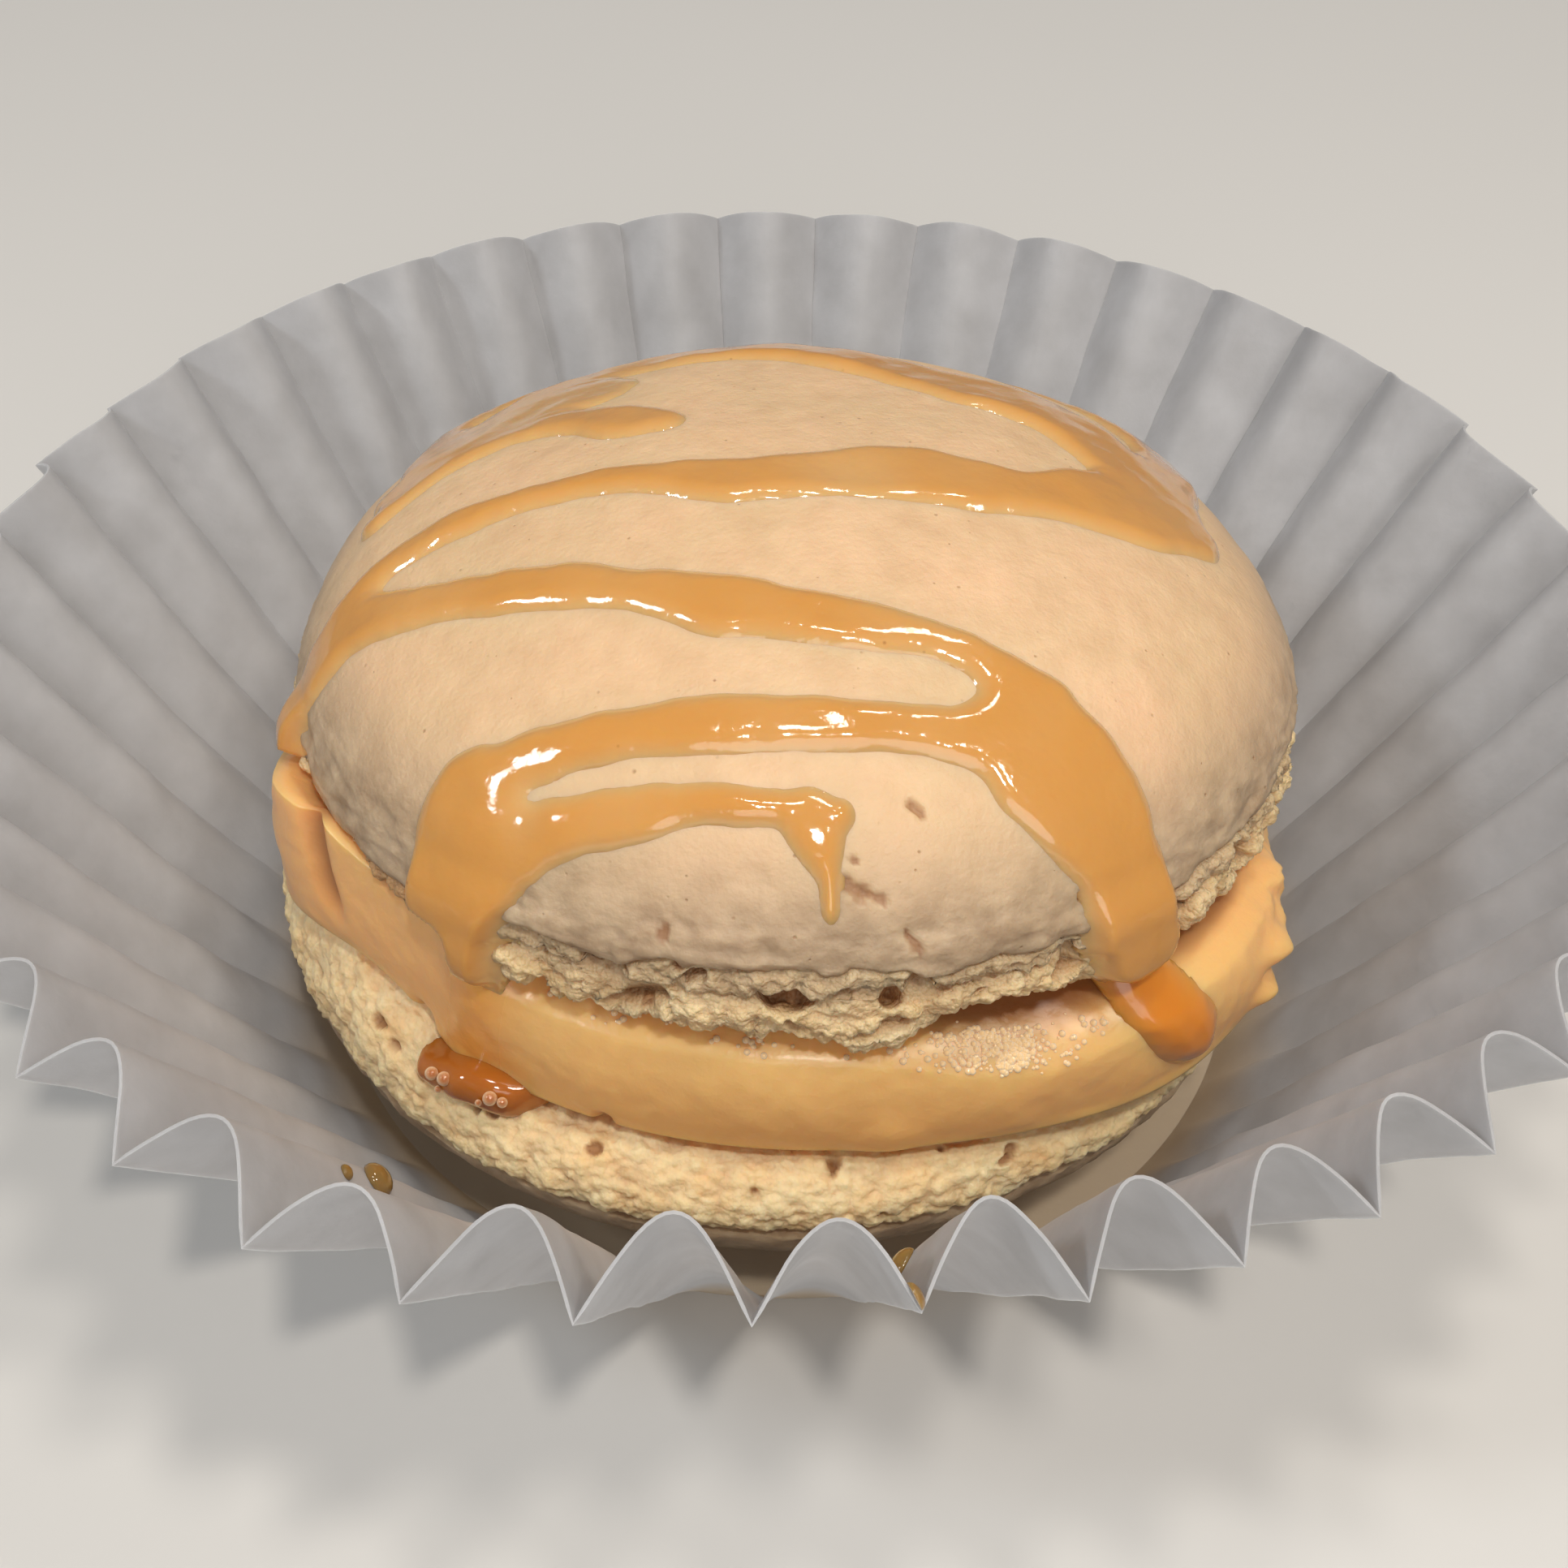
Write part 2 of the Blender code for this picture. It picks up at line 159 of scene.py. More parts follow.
class Noise:
    """Seeded noise over arrays of points: soft waves, and scattered spots."""

    SIZE = 256
    STRENGTH = 1.7
    LAYER_SHIFT = 17.3

    def __init__(self, seed: int) -> None:
        """Draws the tables.

        Args:
            seed: The same seed gives the same noise.
        """
        draw = np.random.default_rng(seed)
        self.order = draw.permutation(self.SIZE)
        slopes = draw.normal(size=(self.SIZE, 3))
        self.slopes = slopes / np.linalg.norm(slopes, axis=1)[:, None]
        self.spots = draw.random((self.SIZE, 3))

    def _pick(self, cells: Array) -> Array:
        """Chooses a table row for each cell.

        Args:
            cells: Rows of whole numbers.

        Returns:
            One row number a cell.
        """
        last = self.SIZE - 1
        i, j, k = (cells & last).T
        return self.order[(self.order[(self.order[i] + j) & last] + k) & last]

    def _layer(self, points: Array) -> Array:
        """One layer of gradient noise with cells of size 1.

        Args:
            points: Rows of x, y, z, in cells.

        Returns:
            One number a point.
        """
        base = np.floor(points).astype(int)
        part = points - base
        ease = part**3 * (part * (part * 6 - 15) + 10)
        total = np.zeros(len(points))
        for corner in np.ndindex(2, 2, 2):
            step = np.array(corner)
            slope = self.slopes[self._pick(base + step)]
            share = np.prod(np.where(step == 1, ease, 1 - ease), axis=1)
            total += share * ((part - step) * slope).sum(axis=1)
        return total * self.STRENGTH

    def waves(self, points: Array, size: float, layers: int = 1) -> Array:
        """Soft noise, mostly between -1 and 1.

        Args:
            points: Rows of x, y, z.
            size: The distance from one bump to the next.
            layers: How many layers, each half the size and strength of the last.

        Returns:
            One number a point.
        """
        total = np.zeros(len(points))
        for layer in range(layers):
            total += self._layer(points * 2**layer / size + layer * self.LAYER_SHIFT) / 2**layer
        return total

    def cells(self, points: Array, size: float) -> tuple[Array, Array]:
        """Scattered spots, one in each cell.

        Args:
            points: Rows of x, y, z.
            size: The size of a cell.

        Returns:
            The distance to the nearest spot, in cells, and that spot's own number from 0 to 1.
        """
        scaled = points / size
        base = np.floor(scaled).astype(int)
        near = np.full(len(points), np.inf)
        number = np.zeros(len(points))
        for offset in np.ndindex(3, 3, 3):
            cell = base + np.array(offset) - 1
            pick = self._pick(cell)
            apart = np.linalg.norm(cell + self.spots[pick] - scaled, axis=1)
            number = np.where(apart < near, pick / self.SIZE, number)
            near = np.minimum(near, apart)
        return near, number


# Meshes from arrays


def make_mesh(name: str, points: Array, faces: list[Array], layers: dict[Tag, Array]) -> Mesh:
    """A smooth-shaded mesh.

    Args:
        name: The mesh's name.
        points: Rows of x, y, z.
        faces: Arrays of corner numbers, each array with one number of corners a face.
        layers: Number layers, one value a point.

    Returns:
        The mesh.
    """
    mesh = bpy.data.meshes.new(name)
    mesh.vertices.add(len(points))
    mesh.vertices.foreach_set("co", np.ascontiguousarray(points, np.float32).ravel())
    corners = np.concatenate([group.ravel() for group in faces])
    sizes = np.concatenate([np.full(len(group), group.shape[1]) for group in faces])
    mesh.loops.add(len(corners))
    mesh.loops.foreach_set("vertex_index", corners.astype(np.int32))
    mesh.polygons.add(len(sizes))
    mesh.polygons.foreach_set("loop_start", (np.cumsum(sizes) - sizes).astype(np.int32))
    mesh.update(calc_edges=True)
    mesh.validate()
    mesh.shade_smooth()
    for tag, values in layers.items():
        mesh.attributes.new(tag.value, "FLOAT", "POINT").data.foreach_set("value", values.astype(np.float32))
    return mesh


def turned_faces(rows: int, columns: int) -> list[Array]:
    """The faces of rings that run from top to bottom, with a point above and a point below them.

    Args:
        rows: How many rings.
        columns: How many points a ring.

    Returns:
        Quads between the rings, and triangles to the two points that follow the rings.
    """
    index = np.arange(rows * columns).reshape(rows, columns)
    after = np.roll(index, -1, axis=1)
    sides = np.stack([index[:-1], index[1:], after[1:], after[:-1]], axis=-1).reshape(-1, 4)
    top = np.full(columns, rows * columns)
    above = np.stack([top, index[0], after[0]], axis=-1)
    below = np.stack([top + 1, after[-1], index[-1]], axis=-1)
    return [sides, np.vstack([above, below])]


def patch_solid(top: Array, bottom: Array, live: Array) -> tuple[Array, list[Array], Array]:
    """A closed solid between two grids of points, over the cells whose four corners are live.

    Args:
        top: The upper grid, rows by columns by 3. Rows cross columns points up.
        bottom: The lower grid, in the same order.
        live: For each point of the grid, whether it belongs to the solid.

    Returns:
        The points, the faces, and the grid place of each point of the upper side.
    """
    rows, columns = live.shape
    keep = live[:-1, :-1] & live[1:, :-1] & live[1:, 1:] & live[:-1, 1:]
    index = np.arange(rows * columns).reshape(rows, columns)
    a, b, c, d = index[:-1, :-1], index[1:, :-1], index[1:, 1:], index[:-1, 1:]
    above = np.stack([a, b, c, d], axis=-1)[keep]
    below = above[:, ::-1] + rows * columns
    padded = np.pad(keep, 1)
    walls = []
    sides = (((a, b), (1, 0)), ((b, c), (2, 1)), ((c, d), (1, 2)), ((d, a), (0, 1)))
    for (start, end), (down, across) in sides:
        edge = keep & ~padded[down : down + rows - 1, across : across + columns - 1]
        low = rows * columns
        walls.append(np.stack([end, start, start + low, end + low], axis=-1)[edge])
    used, packed = np.unique(np.vstack([above, below, *walls]), return_inverse=True)
    points = np.vstack([top.reshape(-1, 3), bottom.reshape(-1, 3)])[used]
    return points, [packed.reshape(-1, 4)], used % (rows * columns)


def face_outwards(mesh: Mesh) -> None:
    """Turns a closed mesh's faces round where they point inwards, told by the sign of its volume.

    Args:
        mesh: The mesh.
    """
    mesh.calc_loop_triangles()
    points = np.empty(len(mesh.vertices) * 3, np.float32)
    mesh.vertices.foreach_get("co", points)
    corners = np.empty(len(mesh.loop_triangles) * 3, np.int32)
    mesh.loop_triangles.foreach_get("vertices", corners)
    sides = points.reshape(-1, 3).astype(float)[corners.reshape(-1, 3)]
    if np.linalg.det(sides).sum() < 0:
        mesh.flip_normals()


def new_object(name: str, data: bpy.types.ID | None) -> bpy.types.Object:
    """A new object in the scene, at the origin.

    Args:
        name: Its name.
        data: Its mesh, light or camera.

    Returns:
        The object.
    """
    made = bpy.data.objects.new(name, data)
    bpy.context.scene.collection.objects.link(made)
    return made


def finished_mesh(carrier: bpy.types.Object, name: str) -> Mesh:
    """The plain mesh that an object's modifiers make of it. The object itself goes.

    Args:
        carrier: The object, with its modifiers.
        name: The new mesh's name.

    Returns:
        The mesh.
    """
    bpy.context.view_layer.update()
    graph = bpy.context.evaluated_depsgraph_get()
    mesh = bpy.data.meshes.new_from_object(carrier.evaluated_get(graph), depsgraph=graph)
    bpy.data.objects.remove(carrier)
    mesh.name = name
    return mesh


def add_piece(mesh: Mesh, material: Material, nodes: tuple[str, ...] = ()) -> None:
    """Makes the mesh a piece of the object, riding on the one body.

    Args:
        mesh: The finished mesh, in its place.
        material: Its finish.
        nodes: The solids that it stands for.
    """
    mesh.materials.clear()
    mesh.materials.append(material)
    piece = new_object(mesh.name, mesh)
    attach(piece, BODY)
    if nodes:
        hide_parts(*nodes)
    mesh.calc_loop_triangles()
    LOG.info("%s: %d triangles", piece.name, len(mesh.loop_triangles))


# Node trees


class Tree:
    """A node tree under construction, with short calls for its nodes."""

    def __init__(self, tree: NodeTree) -> None:
        """Wraps a material's, a group's or a Geometry Nodes tree."""
        self.tree = tree

    def node(self, kind: str, inputs: dict | None = None, **settings: object) -> bpy.types.Node:
        """Adds one node.

        Args:
            kind: Blender's name for the node.
            inputs: Socket name or number to a value or to another node's output.
            settings: Properties of the node, such as its operation.

        Returns:
            The node.
        """
        made = self.tree.nodes.new(kind)
        for name, value in settings.items():
            setattr(made, name, value)
        for key, value in (inputs or {}).items():
            self.feed(made.inputs[key], value)
        return made

    def feed(self, socket: Socket, value: object) -> None:
        """Links an output to the socket, or sets the socket's own value.

        Args:
            socket: The input.
            value: An output, a number or a colour.
        """
        if isinstance(value, Socket):
            self.tree.links.new(value, socket)
        else:
            socket.default_value = value

    def math(self, operation: str, *values: object) -> Socket:
        """The result of one Math node, such as ADD or SINE, from numbers or outputs in the node's order."""
        return self.node("ShaderNodeMath", dict(enumerate(values)), operation=operation).outputs[0]

    times = partialmethod(math, "MULTIPLY")
    plus = partialmethod(math, "ADD")
    minus = partialmethod(math, "SUBTRACT")
    over = partialmethod(math, "DIVIDE")

    def mix(self, share: object, first: object, second: object, strength: float = 1.0) -> Socket:
        """A colour between two.

        Args:
            share: How much of the second, 0 to 1.
            first: The first colour.
            second: The second colour.
            strength: What the share is multiplied by.

        Returns:
            The colour.
        """
        if strength != 1.0:
            share = self.times(share, strength)
        return self.node("ShaderNodeMix", {0: share, 6: first, 7: second}, data_type="RGBA").outputs[2]

    def ramp(self, value: object, low: object, high: object) -> Socket:
        """Rises smoothly from 0 at low to 1 at high."""
        inputs = {0: value, 1: low, 2: high, 3: 0.0, 4: 1.0}
        return self.node("ShaderNodeMapRange", inputs, interpolation_type="SMOOTHSTEP").outputs[0]

    def texture(self, kind: str, size: object, finer: float = 1.0, **inputs: float) -> bpy.types.Node:
        """A texture over the piece's own coordinates.

        Args:
            kind: Noise or Voronoi.
            size: How large its features are.
            finer: What the size is divided by.
            inputs: Its other inputs.

        Returns:
            The node.
        """
        place = self.node("ShaderNodeTexCoord").outputs["Object"]
        scale = self.over(finer, size)
        return self.node(f"ShaderNodeTex{kind}", {"Vector": place, "Scale": scale, **inputs})

    def dressed(self, geometry: Socket, material: Socket) -> Socket:
        """Geometry with its instances made real and its material set."""
        plain = self.node("GeometryNodeRealizeInstances", {0: geometry}).outputs[0]
        return self.node("GeometryNodeSetMaterial", {"Geometry": plain, "Material": material}).outputs[0]


def new_group(
    name: str, kind: str, inputs: dict[str, tuple[str, object]], output: tuple[str, str]
) -> tuple[Tree, dict[str, Socket], Socket]:
    """A node group with named inputs and one output.

    Args:
        name: The group's name.
        kind: ShaderNodeTree or GeometryNodeTree.
        inputs: Name to socket type and starting value.
        output: Name and socket type.

    Returns:
        The tree, its inputs as outputs to link from, and its result socket to feed.
    """
    group = bpy.data.node_groups.new(name, kind)
    for label, (socket_type, value) in inputs.items():
        socket = group.interface.new_socket(label, in_out="INPUT", socket_type=socket_type)
        if value is not None:
            socket.default_value = value
    group.interface.new_socket(output[0], in_out="OUTPUT", socket_type=output[1])
    tree = Tree(group)
    entry = tree.node("NodeGroupInput")
    result = tree.node("NodeGroupOutput")
    return tree, {label: entry.outputs[label] for label in inputs}, result.inputs[output[0]]


def geometry_group(
    name: str, numbers: dict[str, float], others: dict[str, tuple[str, object]]
) -> tuple[Tree, dict[str, Socket], Socket]:
    """A Geometry Nodes group that puts out geometry.

    Args:
        name: The group's name.
        numbers: Its number inputs and their starting values.
        others: Its other inputs: name to socket type and starting value.

    Returns:
        What new_group returns.
    """
    kinds = {float: "NodeSocketFloat", int: "NodeSocketInt"}
    inputs = {label: (kinds[type(value)], value) for label, value in numbers.items()}
    return new_group(name, "GeometryNodeTree", {**others, **inputs}, ("Geometry", "NodeSocketGeometry"))


def realised(name: str, base: Mesh, group: NodeTree, values: dict[str, object]) -> Mesh:
    """Runs a Geometry Nodes tree on a mesh and keeps the plain result.

    Args:
        name: The new mesh's name.
        base: The mesh that the tree starts from.
        group: The tree.
        values: Input name to value.

    Returns:
        A plain mesh.
    """
    carrier = new_object(name, base)
    modifier = carrier.modifiers.new(name, "NODES")
    modifier.node_group = group
    identifiers = {item.name: item.identifier for item in group.interface.items_tree if item.in_out == "INPUT"}
    for label, value in values.items():
        modifier[identifiers[label]] = value
    return finished_mesh(carrier, name)


# Shader groups


def number_group(
    name: str, inputs: dict[str, float], output: str
) -> tuple[Tree, dict[str, Socket], Socket]:
    """A shader group whose inputs and output are numbers, as new_group returns it."""
    numbers = {label: ("NodeSocketFloat", value) for label, value in inputs.items()}
    return new_group(name, "ShaderNodeTree", numbers, (output, "NodeSocketFloat"))


class Shading:
    """The shader groups that more than one finish uses, each built once."""

    @staticmethod
    @cache
    def mottle() -> NodeTree:
        """Puts out a soft, cloudy mask between 0 and 1.

        Returns:
            The group.
        """
        tree, given, result = number_group("mottle", {"Size": 5 * MM, "Contrast": 1.0}, "Mask")
        cloud = tree.texture("Noise", given["Size"], Detail=4.0).outputs["Fac"]
        spread = tree.times(tree.minus(cloud, 0.5), given["Contrast"])
        tree.feed(result, tree.node("ShaderNodeClamp", {0: tree.plus(spread, 0.5)}).outputs[0])
        return tree.tree

    @staticmethod
    @cache
    def specks() -> NodeTree:
        """Puts out a mask of scattered specks, 1 in the middle of each.

        Returns:
            The group.
        """
        inputs = {"Spacing": 1.2 * MM, "Reach": 0.25, "Share": 0.4}
        tree, given, result = number_group("specks", inputs, "Mask")
        spots = tree.texture("Voronoi", given["Spacing"])
        number = tree.node("ShaderNodeSeparateColor", {0: spots.outputs["Color"]}).outputs[0]
        chosen = tree.math("LESS_THAN", number, given["Share"])
        reach = tree.times(given["Reach"], tree.plus(0.4, number))
        inside = tree.minus(1.0, tree.ramp(spots.outputs["Distance"], 0.0, reach))
        tree.feed(result, tree.times(inside, chosen))
        return tree.tree

    @staticmethod
    @cache
    def granules() -> NodeTree:
        """Puts out small round grains packed side by side, 1 on their tops and 0 in the gaps between them.

        Returns:
            The group.
        """
        tree, given, result = number_group("granules", {"Size": 0.4 * MM, "Fine Share": 0.4}, "Value")
        heights = []
        for finer in (1.0, 2.3):
            near = tree.texture("Voronoi", given["Size"], finer).outputs["Distance"]
            heights.append(tree.minus(1.0, tree.times(near, near)))
        fine = tree.times(heights[1], given["Fine Share"])
        coarse = tree.times(heights[0], tree.minus(1.0, given["Fine Share"]))
        tree.feed(result, tree.plus(coarse, fine))
        return tree.tree

    @staticmethod
    @cache
    def grain() -> NodeTree:
        """Puts out a height made of coarse and fine noise.

        Returns:
            The group.
        """
        inputs = {"Coarse": 1.5 * MM, "Fine": 0.3 * MM, "Fine Share": 0.3}
        tree, given, result = number_group("grain", inputs, "Height")
        scales = (given["Coarse"], given["Fine"])
        coarse, fine = (tree.texture("Noise", scale, Detail=3.0).outputs["Fac"] for scale in scales)
        tree.feed(result, tree.plus(coarse, tree.times(fine, given["Fine Share"])))
        return tree.tree


class Dress(Tree):
    """A material under construction round one Principled shader."""

    def __init__(self, name: str, constants: dict[str, object]) -> None:
        """Starts the material.

        Args:
            name: The material's name.
            constants: Values set on the shader's own sockets.
        """
        self.material = bpy.data.materials.new(name)
        self.material.use_nodes = True
        super().__init__(self.material.node_tree)
        self.shader = self.tree.nodes["Principled BSDF"]
        for label, value in constants.items():
            self.shader.inputs[label].default_value = value

    def group(self, group: NodeTree, *inputs: object) -> Socket:
        """The output of a shared group, with its inputs in order."""
        return self.node("ShaderNodeGroup", dict(enumerate(inputs)), node_tree=group).outputs[0]

    def clouds(self, size: float, contrast: float) -> Socket:
        """A soft, cloudy mask."""
        return self.group(Shading.mottle(), size, contrast)

    def dots(self, spacing: float, reach: float, share: float) -> Socket:
        """A mask of scattered specks: how far apart, how large and how many of them show."""
        return self.group(Shading.specks(), spacing, reach, share)

    def grain(self, coarse: float, fine: float, fine_share: float) -> Socket:
        """A height of coarse and fine noise."""
        return self.group(Shading.grain(), coarse, fine, fine_share)

    def layer(self, tag: Tag) -> Socket:
        """A number layer of the mesh."""
        return self.node("ShaderNodeAttribute", attribute_name=tag.value).outputs["Fac"]

    def lead(self, label: str, value: object) -> None:
        """Leads a value to the shader's input of that name."""
        self.feed(self.shader.inputs[label], value)

    def bump(self, height: object, distance: float) -> None:
        """Leads a height to the shader's normal."""
        self.lead("Normal", self.node("ShaderNodeBump", {"Height": height, "Distance": distance}).outputs[0])


def srgb(red: int, green: int, blue: int) -> Colour:
    """A colour given as it looks on a screen, made linear.

    Args:
        red: From 0 to 255.
        green: From 0 to 255.
        blue: From 0 to 255.

    Returns:
        The colour, with its alpha.
    """
    linear = []
    for value in (red, green, blue):
        share = value / 255
        linear.append(share / 12.92 if share <= 0.04045 else ((share + 0.055) / 1.055) ** 2.4)
    return (*linear, 1.0)


def under_skin(weight: float, spread: Triple, reach: float) -> dict[str, object]:
    """The shader values for light that goes in and comes out again nearby."""
    return {"Subsurface Weight": weight, "Subsurface Radius": spread, "Subsurface Scale": reach}


@dataclass(frozen=True)
class PaperFinish:
    """Thin greaseproof paper that lets some light through, tinted a warm tan near the base: partly fat soaked
    in, partly painted shade where the macaron shadows it.
    """

    colour: Colour = srgb(184, 185, 188)
    worn: Colour = srgb(166, 166, 168)
    # Near the base: partly fat soaked in, partly painted warm shade where the macaron shadows the paper
    grease_and_shade_tint: Colour = srgb(190, 172, 148)
    tint_full_below: float = 0.4 * MM
    tint_none_above: float = 5 * MM
    roughness: float = 0.55
    glow: float = 0.9
    glow_reach: float = 0.5 * MM
    fibre: float = 0.4 * MM
    bump: float = 0.03 * MM

    def build(self) -> Material:
        """Builds the material.

        Returns:
            The material.
        """
        light = under_skin(self.glow, (1.0, 1.0, 1.0), self.glow_reach)
        dress = Dress("greaseproof_paper", {"Roughness": self.roughness, "Specular IOR Level": 0.35, **light})
        paper = dress.mix(dress.clouds(2.5 * MM, 1.6), self.worn, self.colour)
        place = dress.node("ShaderNodeTexCoord").outputs["Object"]
        height = dress.node("ShaderNodeSeparateXYZ", {0: place}).outputs["Z"]
        # Painted shade and grease: the warm tan grows from the top of its band down to the base
        grease_and_shade_tint = dress.ramp(height, self.tint_none_above, self.tint_full_below)
        dress.lead("Base Color", dress.mix(grease_and_shade_tint, paper, self.grease_and_shade_tint))
        dress.bump(dress.grain(2.2 * MM, self.fibre, 0.5), self.bump)
        return dress.material


@dataclass(frozen=True)
class ShellFinish:
    """Baked almond meringue: a satin skin above, and a paler, porous foot, with brown painted shade in its
    hollows and grey painted shade in a band by the foot line.
    """

    name: str
    skin: Colour = srgb(236, 196, 156)
    pale: Colour = srgb(224, 192, 150)
    speck: Colour = srgb(160, 112, 72)
    blotch: Colour = srgb(206, 166, 124)
    # Painted shade in a band above the foot line and over the foot's top: this grey, in soft patches with the
    # paler grey below
    shaded: Colour = srgb(160, 136, 110)
    shade_pale: Colour = srgb(198, 174, 144)
    # Random brown stains on the foot, and painted shade in the gaps between its granules
    stain_and_gap_shade: Colour = srgb(190, 156, 112)
    foot: Colour = srgb(255, 228, 182)
    crumb: Colour = srgb(250, 208, 150)
    # Painted shade in cracks, pockets, pores, between lumps and under the skin's torn edge
    hollow: Colour = srgb(150, 96, 52)
    patching: float = 0.3
    blotching: float = 0.28
    shading: float = 0.85
    speckling: float = 0.55
    # Strengths: of the foot's random stains, which also scales the painted shade on the foot's top; of that
    # painted shade; and of the painted shade between the granules
    staining_and_shade: float = 0.45
    painted_shade: float = 1.4
    gap_shade: float = 0.25
    hollowing: float = 0.9
    granular: float = 1.7
    dimples: float = -0.5
    skin_roughness: float = 0.5
    foot_roughness: float = 0.62
    glow: float = 0.35
    glow_reach: float = 1.6 * MM
    bump: float = 0.09 * MM

    def build(self) -> Material:
        """Builds the material.

        Returns:
            The material.
        """
        light = under_skin(self.glow, (1.0, 0.55, 0.28), self.glow_reach)
        dress = Dress(self.name, {"Specular IOR Level": 0.4, **light})
        on_foot, near_edge, pit = (dress.layer(tag) for tag in (Tag.FOOT, Tag.EDGE, Tag.PAINTED_SHADE))
        patches = dress.clouds(1.4 * MM, 3.4)
        specks = dress.dots(0.75 * MM, 0.17, 0.5)
        granules = dress.group(Shading.granules(), 0.36 * MM, 0.4)
        # Painted shade: the grey, patchy shade near the foot line, laid on the skin and on the foot's top
        painted_shade = dress.mix(patches, self.shaded, self.shade_pale)
        skin = dress.mix(dress.clouds(6 * MM, 2.2), self.pale, self.skin)
        skin = dress.mix(patches, skin, self.blotch, self.patching)
        skin = dress.mix(dress.dots(3.2 * MM, 0.55, 0.6), skin, self.blotch, self.blotching)
        skin = dress.mix(near_edge, skin, painted_shade, self.shading)
        skin = dress.mix(specks, skin, self.speck, self.speckling)
        foot = dress.mix(dress.clouds(1.6 * MM, 1.8), self.crumb, self.foot)
        foot = dress.mix(dress.clouds(2.6 * MM, 4.5), foot, self.stain_and_gap_shade, self.staining_and_shade)
        foot = dress.mix(near_edge, foot, painted_shade, self.painted_shade * self.staining_and_shade)
        # Painted shade in the gaps between the granules
        foot = dress.mix(dress.minus(1.0, granules), foot, self.stain_and_gap_shade, self.gap_shade)
        # Painted shade: the pit layer darkens the hollows towards brown
        dress.lead("Base Color", dress.mix(pit, dress.mix(on_foot, skin, foot), self.hollow, self.hollowing))
        rougher = dress.times(on_foot, self.foot_roughness - self.skin_roughness)
        dress.lead("Roughness", dress.plus(rougher, self.skin_roughness))
        height = dress.plus(dress.grain(0.9 * MM, 0.22 * MM, 0.45), dress.times(specks, self.dimples))
        smooth = dress.times(height, dress.minus(1.0, on_foot))
        rough = dress.times(granules, dress.times(on_foot, self.granular))
        dress.bump(dress.plus(smooth, rough), self.bump)
        return dress.material


@dataclass(frozen=True)
class CreamFinish:
    """Caramel buttercream: soft, slightly wet, with painted shade that makes it warmer and deeper towards its
    lower edge and browner in its recesses.
    """

    light: Colour = srgb(255, 200, 128)
    deep: Colour = srgb(255, 184, 108)
    shade: Colour = srgb(140, 78, 34)
    streak: Colour = srgb(252, 168, 70)
    peach: Colour = srgb(255, 186, 120)
    peachiness: float = 0.75
    streaking: float = 0.75
    shading: float = 0.9
    streak_gloss: float = 0.2
    roughness: float = 0.36
    glow: float = 0.6
    glow_reach: float = 2.0 * MM
    bump: float = 0.06 * MM

    def build(self) -> Material:
        """Builds the material.

        Returns:
            The material.
        """
        light = under_skin(self.glow, (1.0, 0.5, 0.2), self.glow_reach)
        dress = Dress("buttercream", {"Coat Weight": 0.25, "Coat Roughness": 0.25, **light})
        clouds = dress.times(dress.clouds(3.5 * MM, 1.4), 0.4)
        # Painted shade: paler towards the top and deeper towards the lower edge, by the share of the height
        blend = dress.plus(clouds, dress.times(dress.layer(Tag.DEPTH), 0.7))
        colour = dress.mix(blend, self.deep, self.light)
        colour = dress.mix(dress.layer(Tag.EDGE), colour, self.peach, self.peachiness)
        streak = dress.layer(Tag.STREAK)
        colour = dress.mix(streak, colour, self.streak, self.streaking)
        # Painted shade: darker brown under the upper shell, in the slit and in the small hollows
        dress.lead("Base Color", dress.mix(dress.layer(Tag.PAINTED_SHADE), colour, self.shade, self.shading))
        dress.lead("Roughness", dress.math("MULTIPLY_ADD", streak, -self.streak_gloss, self.roughness))
        dress.bump(dress.grain(1.4 * MM, 0.25 * MM, 0.35), self.bump)
        return dress.material


@dataclass(frozen=True)
class CaramelFinish:
    """Glossy caramel that is pale where it is thin and deep where it is thick."""

    name: str
    thin: Colour
    thick: Colour
    speck: Colour = srgb(120, 70, 25)
    roughness: float = 0.1
    glow: float = 0.5
    glow_reach: float = 1.5 * MM
    specks: float = 0.5
    bump: float = 0.1 * MM

    def build(self) -> Material:
        """Builds the material.

        Returns:
            The material.
        """
        gloss = {"Roughness": self.roughness, "IOR": 1.48, "Coat Weight": 0.5, "Coat Roughness": 0.04}
        dress = Dress(self.name, {**gloss, **under_skin(self.glow, (1.0, 0.45, 0.15), self.glow_reach)})
        clouds = dress.plus(0.75, dress.times(dress.clouds(4 * MM, 1.5), 0.4))
        colour = dress.mix(dress.times(dress.layer(Tag.DEPTH), clouds), self.thin, self.thick)
        dots = dress.times(dress.dots(1.6 * MM, 0.13, 0.3), self.specks)
        dress.lead("Base Color", dress.mix(dots, colour, self.speck))
        dress.bump(dress.grain(2.2 * MM, 0.8 * MM, 0.3), self.bump)
        return dress.material


@dataclass(frozen=True)
class BubbleFinish:
    """A bubble's film: the colour of what lies behind is painted into its middle, and its rim is a painted
    highlight.
    """

    name: str
    behind: Colour
    rim: Colour

    def build(self) -> Material:
        """Builds the material.

        Returns:
            The material.
        """
        dress = Dress(self.name, {"Roughness": 0.06, "IOR": 1.45, "Coat Weight": 1.0, "Coat Roughness": 0.02})
        # Painted highlight: the rim grows pale where the film turns away from the view
        facing = dress.node("ShaderNodeLayerWeight", {"Blend": 0.5}).outputs["Facing"]
        pale = dress.times(facing, dress.plus(0.7, dress.clouds(0.12 * MM, 2.0)))
        dress.lead("Base Color", dress.mix(pale, self.behind, self.rim))
        return dress.material


# The paper case


# The sizes of the case that its tree takes as inputs
CASE_INPUTS = ("Base Radius", "Rim Radius", "Rim Height", "Rim Sway", "Rim Bulge", "Rim Dent", "Lean Front")
CASE_INPUTS += ("Lean Back", "Unevenness", "Crumple", "Pleats", "Steps", "Rows")


